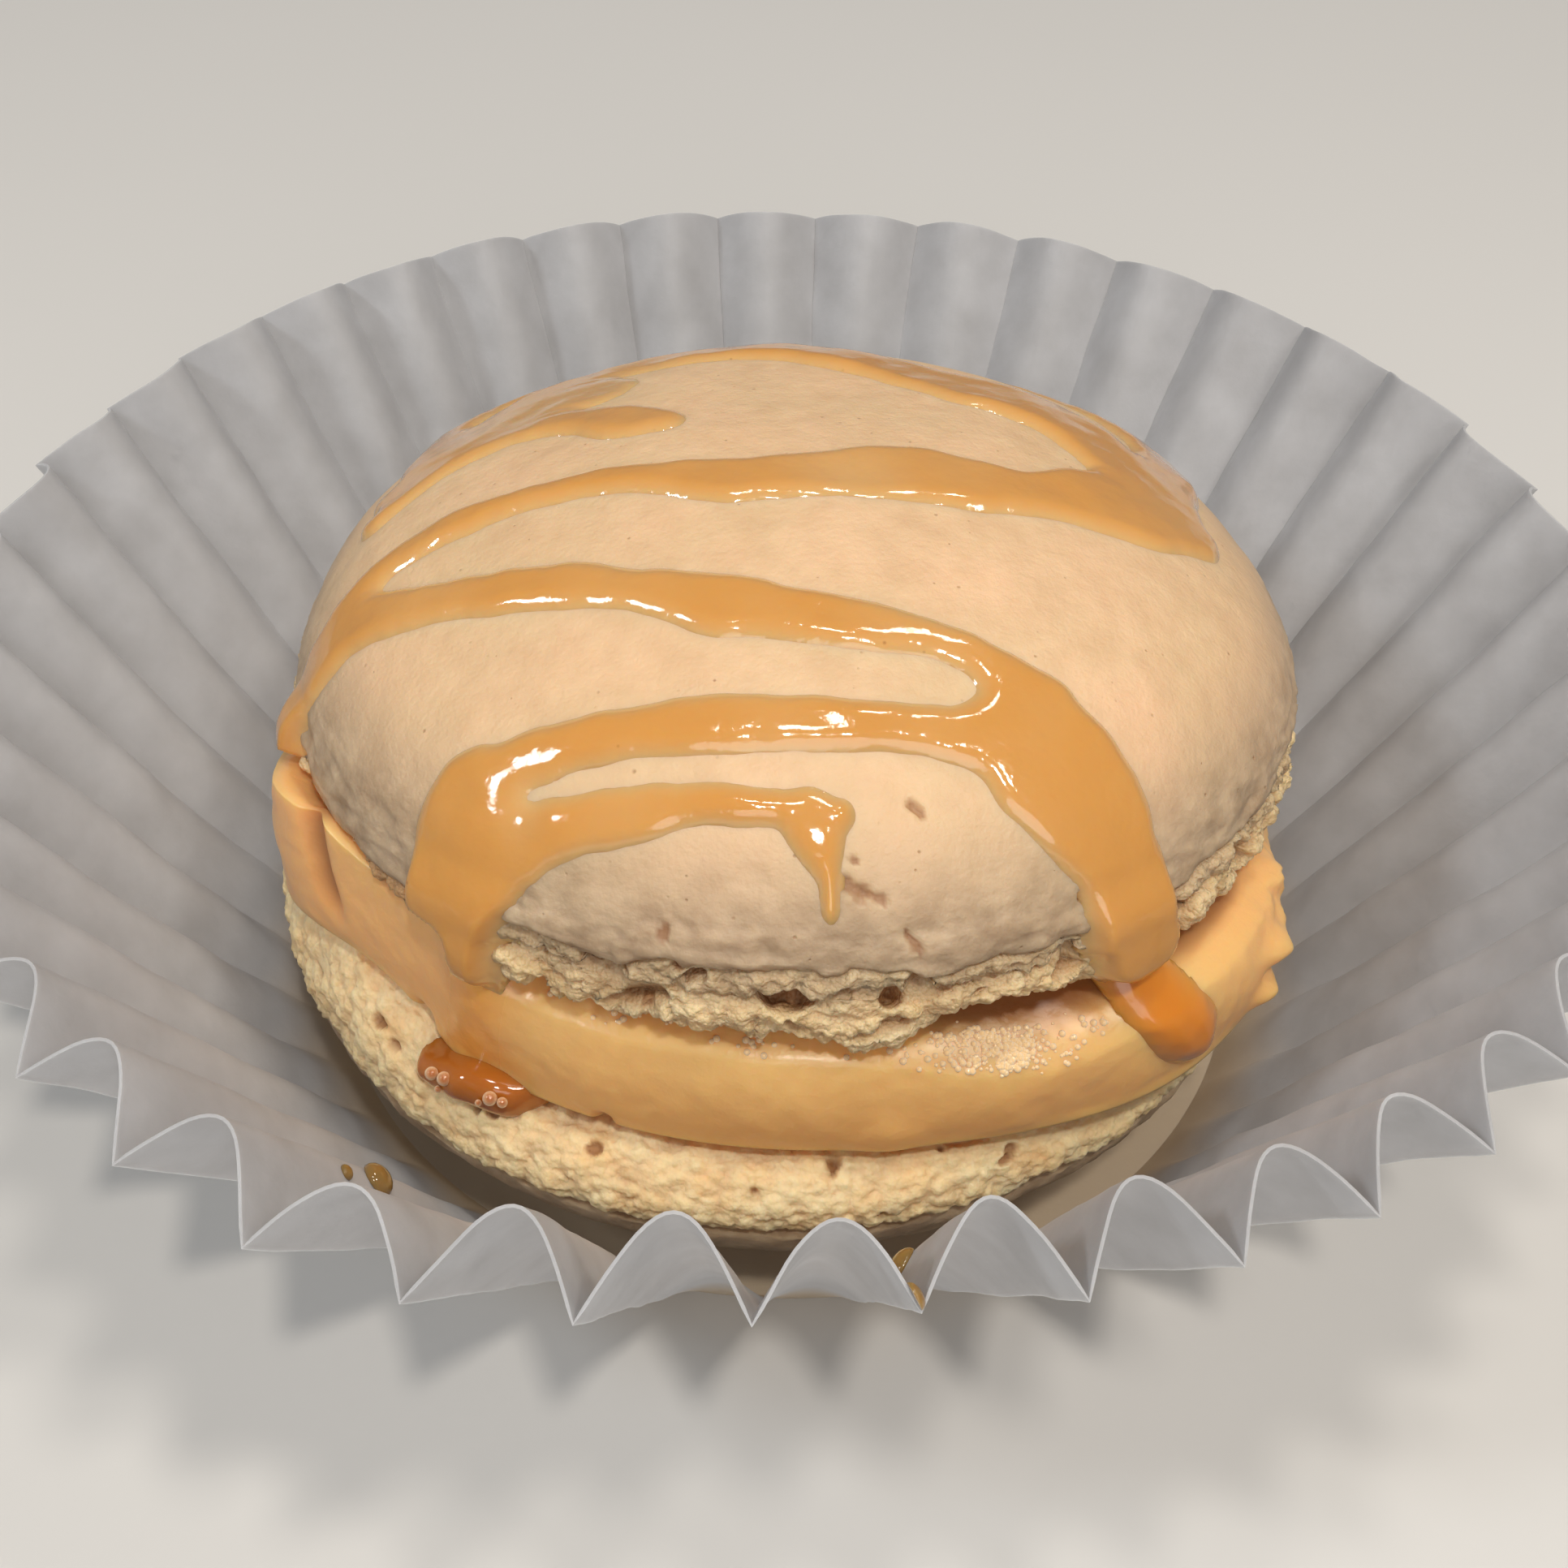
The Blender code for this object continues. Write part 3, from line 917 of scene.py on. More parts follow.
@dataclass(frozen=True)
class PaperCase:
    """The pleated case: a flat base and straight pleats that open out to a scalloped rim."""

    pleats: int = 42
    steps: int = 20
    rows: int = 36
    base_share: float = 0.25
    base_radius: float = 22.0 * MM
    rim_radius: float = 38.0 * MM
    rim_height: float = 20.0 * MM
    rim_sway: float = 0.5 * MM
    rim_bulge: float = 0.9 * MM
    rim_bulge_turn: float = math.radians(-113)
    rim_bulge_spread: float = math.radians(16)
    rim_dent: float = 0.3 * MM
    rim_dent_turn: float = math.radians(-84)
    rim_dent_spread: float = math.radians(7)
    first_pleat: float = math.radians(-126.8)
    drift_once: float = math.radians(0.6)
    drift_twice: float = math.radians(1.15)
    lean_front: float = math.radians(7.7)
    lean_back: float = math.radians(5.0)
    unevenness: float = 0.16
    crumple: float = 0.55 * MM
    crumple_size: float = 7 * MM
    crumple_full_at: float = 6 * MM
    sway_lobes: float = 3.0
    sway_turn: float = math.radians(87)
    drift_rounds: int = 2
    merge_within: float = 0.001 * MM
    paper: float = 0.12 * MM
    sharp_fold: float = math.radians(50)

    @staticmethod
    def bell(tree: Tree, turn: Socket, middle: float, spread: float) -> Socket:
        """A smooth hump round the axis: 1 at its middle, almost nothing two spreads away."""
        near = tree.math("COSINE", tree.minus(turn, middle))
        return tree.math("EXPONENT", tree.over(tree.math("MULTIPLY_ADD", near, 2.0, -2.0), spread**2))

    def tree(self, material: Material) -> NodeTree:
        """The Geometry Nodes tree that folds a flat grid into the case.

        Args:
            material: The paper.

        Returns:
            The tree.
        """
        sizes = {label: getattr(self, label.lower().replace(" ", "_")) for label in CASE_INPUTS}
        tree, given, result = geometry_group("paper_case", sizes, {"Paper": ("NodeSocketMaterial", material)})
        math_of, times, plus, minus, over = tree.math, tree.times, tree.plus, tree.minus, tree.over
        columns = plus(times(given["Pleats"], given["Steps"]), 1.0)
        rings = plus(given["Rows"], 1.0)
        grid = tree.node("GeometryNodeMeshGrid", {"Vertices X": columns, "Vertices Y": rings})
        place = tree.node("ShaderNodeSeparateXYZ", {0: grid.outputs["UV Map"]})
        phase = times(place.outputs["X"], given["Pleats"])
        plain_turn = math_of("MULTIPLY_ADD", place.outputs["X"], math.tau, self.first_pleat)
        turn = plain_turn
        for _ in range(self.drift_rounds):
            once = times(math_of("COSINE", turn), self.drift_once)
            twice = times(math_of("COSINE", times(turn, 2.0)), self.drift_twice)
            turn = minus(minus(plain_turn, once), twice)
        shift = -self.sway_lobes * self.sway_turn
        sway = math_of("COSINE", math_of("MULTIPLY_ADD", turn, self.sway_lobes, shift))
        rim = math_of("MULTIPLY_ADD", sway, given["Rim Sway"], given["Rim Radius"])
        bulge = self.bell(tree, turn, self.rim_bulge_turn, self.rim_bulge_spread)
        dent = self.bell(tree, turn, self.rim_dent_turn, self.rim_dent_spread)
        rim = math_of("MULTIPLY_ADD", bulge, given["Rim Bulge"], rim)
        rim = minus(rim, times(dent, given["Rim Dent"]))
        reach = minus(given["Rim Radius"], given["Base Radius"])
        squares = plus(math_of("POWER", reach, 2.0), math_of("POWER", given["Rim Height"], 2.0))
        slant = math_of("SQRT", squares)
        out = minus(rim, given["Base Radius"])
        steepness = math_of("ARCCOSINE", over(out, slant))
        frontness = math_of("MULTIPLY_ADD", math_of("SINE", turn), -0.5, 0.5)
        more = minus(given["Lean Front"], given["Lean Back"])
        lean = math_of("MULTIPLY_ADD", frontness, more, given["Lean Back"])
        one_pleat = math_of("FLOOR", plus(phase, 0.001))
        draw = tree.node("ShaderNodeTexWhiteNoise", {"W": one_pleat}, noise_dimensions="1D").outputs["Value"]
        uneven = math_of("MULTIPLY_ADD", minus(draw, 0.5), given["Unevenness"], 1.0)
        fold = math_of("ABSOLUTE", math_of("SINE", times(phase, math.pi)))
        steepness = plus(steepness, times(times(lean, uneven), fold))
        wall = over(minus(place.outputs["Y"], self.base_share), 1 - self.base_share)
        wall = times(math_of("MAXIMUM", wall, 0.0), slant)
        inner = math_of("MINIMUM", over(place.outputs["Y"], self.base_share), 1.0)
        run = times(wall, math_of("COSINE", steepness))
        radius = math_of("MULTIPLY_ADD", inner, given["Base Radius"], run)
        height = times(wall, math_of("SINE", steepness))
        x = times(radius, math_of("COSINE", turn))
        y = times(radius, math_of("SINE", turn))
        point = tree.node("ShaderNodeCombineXYZ", {0: x, 1: y, 2: height}).outputs[0]
        scale = 1 / self.crumple_size
        noise = {"Vector": point, "Scale": scale, "Detail": 2.0}
        cloud = tree.node("ShaderNodeTexNoise", noise).outputs["Color"]
        half = (0.5, 0.5, 0.5)
        centred = tree.node("ShaderNodeVectorMath", {0: cloud, 1: half}, operation="SUBTRACT").outputs[0]
        strength = times(given["Crumple"], tree.ramp(height, 0.0, self.crumple_full_at))
        shift = tree.node("ShaderNodeVectorMath", {0: centred, "Scale": strength}, operation="SCALE").outputs[0]
        crumpled = tree.node("ShaderNodeVectorMath", {0: point, 1: shift}, operation="ADD").outputs[0]
        moved = tree.node("GeometryNodeSetPosition", {"Geometry": grid.outputs["Mesh"], "Position": crumpled})
        merging = {"Geometry": moved.outputs[0], "Distance": self.merge_within}
        joined = tree.node("GeometryNodeMergeByDistance", merging).outputs[0]
        tree.feed(result, tree.dressed(joined, given["Paper"]))
        return tree.tree

    def build(self, finish: PaperFinish) -> Mesh:
        """Folds the case, gives it its thickness and adds it.

        Args:
            finish: The paper's finish.

        Returns:
            Its mesh, for what sits on it.
        """
        material = finish.build()
        flat = bpy.data.meshes.new("paper_sheet")
        sheet = realised("paper_sheet", flat, self.tree(material), {"Pleats": self.pleats})
        carrier = new_object("paper_sheet", sheet)
        wall = carrier.modifiers.new("paper_thickness", "SOLIDIFY")
        wall.thickness = self.paper
        wall.offset = 0.0
        mesh = finished_mesh(carrier, "pleated_case")
        face_outwards(mesh)
        mesh.shade_smooth()
        mesh.set_sharp_from_angle(angle=self.sharp_fold)
        add_piece(mesh, material, ("paper_case",))
        return mesh


# The shells


# How closely an outline's points are set
OUTLINE_STEP = 0.05 * MM
QUARTER_POINTS = 400


@dataclass(frozen=True)
class ShellForm:
    """The smooth form of one shell, skin up, with its foot line at height zero."""

    radius: float
    dome: float
    roundness: float
    foot: float
    foot_outline: tuple[Pair, ...]
    centre: Triple
    turn_about_x: float

    def outline(self) -> Array:
        """The turned outline, closely spaced.

        Returns:
            Rows of (distance along the skin, radius, height), from the dome's top to under the foot.
        """
        quarter = np.linspace(0.0, math.pi / 2, QUARTER_POINTS)
        radius = self.radius * np.sin(quarter) ** (2 / self.roundness)
        height = self.dome * np.clip(np.cos(quarter), 0, 1) ** (2 / self.roundness)
        lip = [(self.radius, 0.0)]
        lip += [(self.radius + out * MM, -share * self.foot) for out, share in self.foot_outline]
        foot = smooth_route(np.array(lip), OUTLINE_STEP)
        points = np.vstack([np.stack([radius, height], axis=1), foot[1:]])
        steps = np.linalg.norm(np.diff(points, axis=0), axis=1)
        along = np.concatenate([[0.0], np.cumsum(steps)])
        return np.column_stack([along, points])

    def foot_line(self) -> float:
        """How far along the skin the foot line lies."""
        outline = self.outline()
        return float(outline[np.argmax(outline[:, 2] <= 0), 0])

    def place(self, points: Array) -> Array:
        """Moves points from the shell's own frame to their place in the object."""
        turned = Matrix.Rotation(self.turn_about_x, 3, "X")
        return points @ np.array(turned).T + np.array(self.centre)


UPPER = ShellForm(
    radius=21.5 * MM,
    dome=11.0 * MM,
    roundness=2.0,
    foot=2.5 * MM,
    foot_outline=((-0.35, 0.10), (0.05, 0.35), (-0.05, 0.70), (-0.50, 0.95), (-1.60, 1.00)),
    centre=(0.2 * MM, -2.4 * MM, 19.2 * MM),
    turn_about_x=math.radians(-4.5),
)
LOWER = ShellForm(
    radius=22.1 * MM,
    dome=7.9 * MM,
    roundness=2.1,
    foot=2.8 * MM,
    foot_outline=((0.30, 0.08), (0.40, 0.30), (0.15, 0.60), (-0.70, 0.92), (-1.70, 1.00)),
    centre=(-0.6 * MM, -2.7 * MM, 8.5 * MM),
    turn_about_x=math.pi,
)


@dataclass(frozen=True)
class FootTexture:
    """How rough a foot is: lumps from large to fine as (size, height), then its pockets and pores."""

    lumps: tuple[Pair, ...]
    pocket: float
    pocket_size: float
    pocket_level: float
    pore: float
    pore_size: float
    pore_share: float
    pore_start: float
    seed: int
    grit: float = 0.04 * MM
    grit_size: float = 0.3 * MM
    lump_top: float = 0.36
    lump_fall: float = 1.3
    lump_variety: float = 0.5
    lump_shift: float = 3.1 * MM
    pocket_rim: float = 0.22
    pocket_flatness: float = 1.5
    pocket_shift: float = 9 * MM
    pore_shift: float = 7 * MM
    smallest_pore: float = 0.14
    pore_variety: float = 0.26
    pore_fade: Pair = (-0.3 * MM, 0.1 * MM)
    # Painted shade: in pockets and pores, between lumps, and on the foot where the skin hangs further down over
    # it
    hollow_dark: float = 0.9
    low_dark: float = 0.35
    drop_dark: float = 0.75
    drop_dark_over: Pair = (0.6 * MM, 1.3 * MM)


class Draw(Enum):
    """Which of its shell's draws of noise a form uses."""

    WAVE = 0
    EDGE = 1
    SKIN = 2
    FOOT = 3
    FRINGE = 4
    MARKS = 5


@dataclass(frozen=True)
class Mark:
    """A crack, a pit or, with a depth below zero, a ledge in the skin, in mm: its two ends in the plan."""

    start: Pair
    end: Pair
    width: float
    depth: float


SKIN_MARKS = (
    Mark((1.85, -19.95), (2.5, -20.05), 0.28, 0.22),
    Mark((2.5, -20.05), (3.3, -20.15), 0.13, 0.16),
    Mark((4.32, -17.72), (4.55, -17.8), 0.2, 0.24),
    Mark((4.1, -20.6), (4.7, -20.75), 0.12, 0.18),
    Mark((2.15, -19.4), (2.25, -19.4), 0.12, 0.14),
    Mark((-4.65, -20.6), (-4.5, -20.6), 0.12, 0.16),
    Mark((10.6, -18.2), (11.5, -17.7), 0.12, 0.2),
    Mark((-1.9, -19.85), (-1.2, -19.85), 0.42, 0.07),
    Mark((-10.8, -18.6), (-8.2, -19.95), 0.36, -0.16),
    Mark((-6.2, -20.55), (-1.4, -21.2), 0.35, -0.14),
    Mark((4.4, -20.9), (9.6, -19.1), 0.25, -0.08),
)


@dataclass(frozen=True)
class MacaronShell:
    """One baked shell: a thin skin over a dome, and a porous, ruffled foot that shows under its torn edge."""

    name: str
    form: ShellForm
    texture: FootTexture
    marks: tuple[Mark, ...] = ()
    foot_lengths: tuple[Pair, ...] = ((-180.0, 1.0), (180.0, 1.0))
    skin_drops: tuple[Pair, ...] = ((-180.0, 0.0), (180.0, 0.0))
    foot_fringe: float = 0.16
    fringe_size: float = 1.7 * MM
    skin_columns: int = 860
    pole_gap: float = 0.4 * MM
    coarse_step: float = 0.55 * MM
    fine_step: float = 0.135 * MM
    fine_reach: float = 8.0 * MM
    skin_end: float = 0.8 * MM
    foot_columns: int = 1120
    foot_step: float = 0.078 * MM
    foot_start: float = 2.0 * MM
    edge: float = 0.8 * MM
    edge_sway: float = 0.4 * MM
    edge_sway_size: float = 2.2 * MM
    edge_blur: float = 0.22 * MM
    tuck: float = 0.45 * MM
    tuck_slope: float = 2.2
    tuck_reach: float = 1.1 * MM
    wave: float = 0.16 * MM
    wave_size: float = 9 * MM
    ripple: float = 0.05 * MM
    ripple_size: float = 2.6 * MM
    fold: float = 0.15 * MM
    fold_size: float = 1 * MM
    fold_length: float = 3.2
    fold_closeness: float = 1.15
    fold_reach: float = 4.5 * MM
    mark_core: float = 0.35
    mark_raggedness: float = 0.7
    mark_rough_size: float = 0.7 * MM
    # Painted shade: in marks deeper than dark_from, and on the skin tucked under its torn edge
    dark_from: float = 0.1 * MM
    mark_dark: float = 0.75
    under_edge_dark: float = 0.9
    # Where the painted shade band above the foot line rises, and how far past the line it fades out over the
    # foot
    shade: Pair = (-7.5 * MM, -1.6 * MM)
    foot_shade: float = 1.5 * MM

    def noise(self, draw: Draw) -> Noise:
        """The shell's own noise of one kind."""
        return Noise(self.texture.seed + draw.value)

    def skin_wave(self, points: Array) -> Array:
        """How far the skin's broad unevenness, which what lies on it shares, stands out at each point."""
        noise = self.noise(Draw.WAVE)
        wave = self.wave * noise.waves(points, self.wave_size)
        return wave + self.ripple * noise.waves(points, self.ripple_size, 2)

    def marks_at(self, points: Array) -> tuple[Array, Array]:
        """The skin's own cracks, pits and ledges.

        Args:
            points: Rows of x, y, z in its own frame.

        Returns:
            How far each point lies in, and the share of it that is a hollow.
        """
        depth = np.zeros(len(points))
        hollow = np.zeros(len(points))
        ragged = self.noise(Draw.MARKS).waves(points, self.mark_rough_size, 3)
        ragged = np.clip(1 + self.mark_raggedness * ragged, 0.5, 2.0)
        for mark in self.marks:
            start, width = np.array(mark.start) * MM, mark.width * MM
            along = np.array(mark.end) * MM - start
            share = np.clip(((points[:, :2] - start) @ along) / (along @ along), 0, 1)
            apart = np.linalg.norm(points[:, :2] - start - share[:, None] * along, axis=1)
            inside = 1 - smooth_step(self.mark_core * width, width, apart * ragged)
            inside = np.where(points[:, 2] > 0, inside, 0)
            depth += mark.depth * MM * inside
            hollow = np.maximum(hollow, inside * (mark.depth * MM > self.dark_from))
        return depth, hollow

    def drop_at(self, points: Array) -> Array:
        """How much further down than elsewhere the skin reaches over the foot.

        Args:
            points: Rows of x, y, z in its own frame.

        Returns:
            One distance a point, by its angle.
        """
        table = np.array(self.skin_drops)
        turn = np.degrees(np.arctan2(points[:, 1], points[:, 0]))
        return np.interp(turn, table[:, 0], table[:, 1]) * MM

    def past_edge(self, points: Array, past_line: Array) -> Array:
        """How far each point lies below the skin's torn edge, less than zero above it."""
        sway = self.edge_sway * self.noise(Draw.EDGE).waves(points, self.edge_sway_size, 3)
        return past_line + self.edge - self.drop_at(points) + sway

    def on_foot(self, points: Array, past_line: Array) -> Array:
        """How much each point lies below the skin's torn edge, 0 to 1."""
        return smooth_step(-self.edge_blur, self.edge_blur, self.past_edge(points, past_line))

    def skin_relief(self, points: Array, past_line: Array) -> tuple[Array, Array]:
        """The fine shape of the skin.

        Args:
            points: Rows of x, y, z on the smooth form, in its own frame.
            past_line: How far each lies below the foot line along the outline, less than zero on the dome.

        Returns:
            How far each point moves outwards, and its share of painted shade, in the deeper marks and under the
            torn edge.
        """
        near_foot = smooth_step(-self.fold_reach, 0.0, past_line)
        turn = np.arctan2(points[:, 1], points[:, 0])
        around = np.column_stack([np.cos(turn), np.sin(turn)]) * self.form.radius / self.fold_length
        places = np.column_stack([around, past_line * self.fold_closeness])
        folds = 1 - 2 * np.abs(self.noise(Draw.SKIN).waves(places, self.fold_size, 3))
        depth, hollow = self.marks_at(points)
        below = self.on_foot(points, past_line)
        outwards = self.skin_wave(points) + self.fold * near_foot * folds - depth
        further = np.clip(self.past_edge(points, past_line), 0.0, self.tuck_reach)
        inwards = self.tuck * below + self.tuck_slope * further
        # Painted shade in the deeper marks and under the torn edge
        dark = np.maximum(hollow * self.mark_dark, self.under_edge_dark * below)
        return outwards * (1 - below) - inwards, dark

    def foot_relief(self, points: Array, past_line: Array) -> tuple[Array, Array]:
        """The fine shape of the foot.

        Args:
            points: Rows of x, y, z on the smooth form, in its own frame.
            past_line: How far each lies below the foot line along the outline.

        Returns:
            How far each point moves outwards, and its share of painted shade, in pockets, pores and low places
            and where the skin hangs further down.
        """
        texture = self.texture
        noise = self.noise(Draw.FOOT)
        rise = texture.grit * noise.waves(points, texture.grit_size, 2)
        low = np.zeros(len(points))
        for number, (size, height) in enumerate(texture.lumps):
            near, draw = noise.cells(points + number * texture.lump_shift, size)
            round_top = texture.lump_top - texture.lump_fall * near**2
            lump = height * (round_top + texture.lump_variety * (draw - 0.5))
            rise += lump
            low = np.maximum(low, np.clip(-lump / height, 0, 1) / (number + 1))
        cloud = points * (1, 1, texture.pocket_flatness) + texture.pocket_shift
        cloud = noise.waves(cloud, texture.pocket_size, 2)
        pocket = smooth_step(texture.pocket_level, texture.pocket_level + texture.pocket_rim, cloud)
        near, draw = noise.cells(points + texture.pore_shift, texture.pore_size)
        size = texture.smallest_pore + texture.pore_variety * draw / texture.pore_share
        pore = np.where(draw < texture.pore_share, 1 - smooth_step(0.65, 1.0, near / size), 0)
        fade_from, fade_to = texture.pore_fade
        pore = pore * smooth_step(texture.pore_start + fade_from, texture.pore_start + fade_to, past_line)
        below = self.on_foot(points, past_line)
        outwards = rise - texture.pocket * pocket - texture.pore * pore
        # Painted shade in the hollows, and where the skin hangs lower
        hollow = np.clip(np.maximum(pocket, pore) * texture.hollow_dark + texture.low_dark * low, 0, 1)
        dropped = smooth_step(*texture.drop_dark_over, self.drop_at(points))
        hollow = np.maximum(hollow, texture.drop_dark * dropped)
        return outwards * below - self.tuck * (1 - below), hollow

    def length_at(self, turn: Array) -> Array:
        """How long the foot hangs down.

        Args:
            turn: Angles.

        Returns:
            Shares of its height, one an angle.
        """
        table = np.array(self.foot_lengths)
        ragged = self.noise(Draw.FRINGE).waves(round_axis(self.form.radius, turn, 0.0), self.fringe_size, 2)
        return np.interp(np.degrees(turn), table[:, 0], table[:, 1]) + self.foot_fringe * ragged

    def turned(self, rows: Array, columns: int) -> tuple[Array, Array, Array]:
        """The smooth form turned about its axis.

        Args:
            rows: Distances along the outline.
            columns: How many points a ring.

        Returns:
            The points, the directions in which they face, and how far each lies past the foot line.
        """
        outline = self.form.outline()
        radius = np.interp(rows, outline[:, 0], outline[:, 1])
        height = np.interp(rows, outline[:, 0], outline[:, 2])
        slope = np.gradient(np.stack([radius, height]), rows, axis=1)
        turn = np.linspace(-math.pi, math.pi, columns, endpoint=False)
        cos, sin, one = np.cos(turn), np.sin(turn), np.ones(columns)
        points = np.stack([np.outer(radius, cos), np.outer(radius, sin), np.outer(height, one)], axis=-1)
        points[..., 2] *= np.where(points[..., 2] < 0, self.length_at(turn), 1.0)
        facing = [np.outer(-slope[1], cos), np.outer(-slope[1], sin), np.outer(slope[0], one)]
        facing = np.stack(facing, axis=-1)
        facing /= np.linalg.norm(facing, axis=-1, keepdims=True)
        past_line = np.repeat(rows - self.form.foot_line(), columns)
        return points.reshape(-1, 3), facing.reshape(-1, 3), past_line

    def add(self, part: str, rows: Array, columns: int, foot: bool, material: Material) -> None:
        """Builds the skin or the foot as one closed mesh and adds it.

        Args:
            part: What the piece's name ends in.
            rows: Distances along the outline.
            columns: How many points a ring.
            foot: Whether it is the foot.
            material: Its finish.
        """
        points, facing, past_line = self.turned(rows, columns)
        relief = self.foot_relief if foot else self.skin_relief
        outwards, hollow = relief(points, past_line)
        points = points + facing * outwards[:, None]
        heights = points[:, 2].reshape(len(rows), columns)
        ends = np.array([[0, 0, heights[0].mean()], [0, 0, heights[-1].mean()]])
        placed = self.form.place(np.vstack([points, ends]))
        # Painted shade: a band that rises towards the foot line and fades out over the foot's top
        shaded = smooth_step(*self.shade, past_line) * (1 - smooth_step(0.0, self.foot_shade, past_line))
        layers = {
            Tag.FOOT: np.full(len(placed), float(foot)),
            Tag.PAINTED_SHADE: np.append(hollow, [0.0, 0.0]),
            Tag.EDGE: np.append(shaded, [0.0, 0.0]),
        }
        mesh = make_mesh(f"{self.name}_{part}", placed, turned_faces(len(rows), columns), layers)
        add_piece(mesh, material, (self.name,))

    def build(self, finish: ShellFinish) -> None:
        """Builds the skin and the foot.

        Args:
            finish: What both are dressed in.
        """
        line = self.form.foot_line()
        end = self.form.outline()[-1, 0]
        fine_from = line - self.fine_reach
        last = line + max(drop for _, drop in self.skin_drops) * MM + max(0.0, self.skin_end - self.edge)
        skin_rows = [
            np.arange(self.pole_gap, fine_from, self.coarse_step),
            np.arange(fine_from, line, self.fine_step),
            np.arange(line, last, self.fine_step)[1:],
            [last],
        ]
        foot_rows = [np.arange(line - self.foot_start, end, self.foot_step), [end]]
        material = finish.build()
        self.add("skin", np.concatenate(skin_rows), self.skin_columns, False, material)
        self.add("foot", np.concatenate(foot_rows), self.foot_columns, True, material)


UPPER_SHELL = MacaronShell(
    name="upper_shell",
    form=UPPER,
    texture=FootTexture(
        lumps=((1.7 * MM, 0.42 * MM), (0.8 * MM, 0.3 * MM), (0.42 * MM, 0.22 * MM)),
        pocket=1.0 * MM,
        pocket_size=2.4 * MM,
        pocket_level=0.3,
        pore=0.5 * MM,
        pore_size=1.7 * MM,
        pore_share=0.3,
        pore_start=-1.0 * MM,
        seed=11,
    ),
    marks=SKIN_MARKS,
    foot_lengths=(
        (-180.0, 1.0), (-160.0, 0.3), (-150.0, 0.05), (-143.0, 0.25), (-138.0, 0.4), (-130.0, 0.5),
        (-126.0, 0.75), (-122.0, 0.95), (-110.0, 1.0), (-95.0, 0.92), (-88.0, 1.12), (-82.0, 1.36),
        (-77.5, 1.2), (-74.0, 0.78), (-62.0, 0.72), (-50.0, 0.9), (-30.0, 1.0), (180.0, 1.0),
    ),
    skin_drops=(
        (-180.0, 0.0), (-158.0, 0.6), (-150.0, 1.4), (-129.0, 1.4), (-122.0, 0.3), (-116.0, 0.0),
        (180.0, 0.0),
    ),
)
LOWER_SHELL = MacaronShell(
    name="lower_shell",
    form=LOWER,
    texture=FootTexture(
        lumps=((1.5 * MM, 0.2 * MM), (0.65 * MM, 0.2 * MM), (0.34 * MM, 0.12 * MM)),
        pocket=0.4 * MM,
        pocket_size=1.8 * MM,
        pocket_level=0.7,
        pore=0.3 * MM,
        pore_size=1.2 * MM,
        pore_share=0.4,
        pore_start=2.3 * MM,
        seed=23,
    ),
    foot_lengths=(
        (-180.0, 1.0), (118.0, 1.0), (123.0, 0.98), (126.4, 1.02), (129.0, 1.15), (131.0, 1.35),
        (134.0, 1.55), (138.0, 1.68), (143.0, 1.79), (150.0, 1.75), (157.0, 1.57), (165.0, 1.36),
        (178.0, 1.0), (180.0, 1.0),
    ),
    foot_fringe=0.02,
    skin_columns=480,
    coarse_step=1.0 * MM,
    fine_step=0.4 * MM,
    foot_start=0.9 * MM,
    edge=-0.1 * MM,
    tuck=0.35 * MM,
)


# The drizzle


@dataclass(frozen=True)
class Pass:
    """One pass of the drizzle: (x, y, full width) in mm in the plan, past the foot line down the foot."""

    name: str
    stations: tuple[Triple, ...]


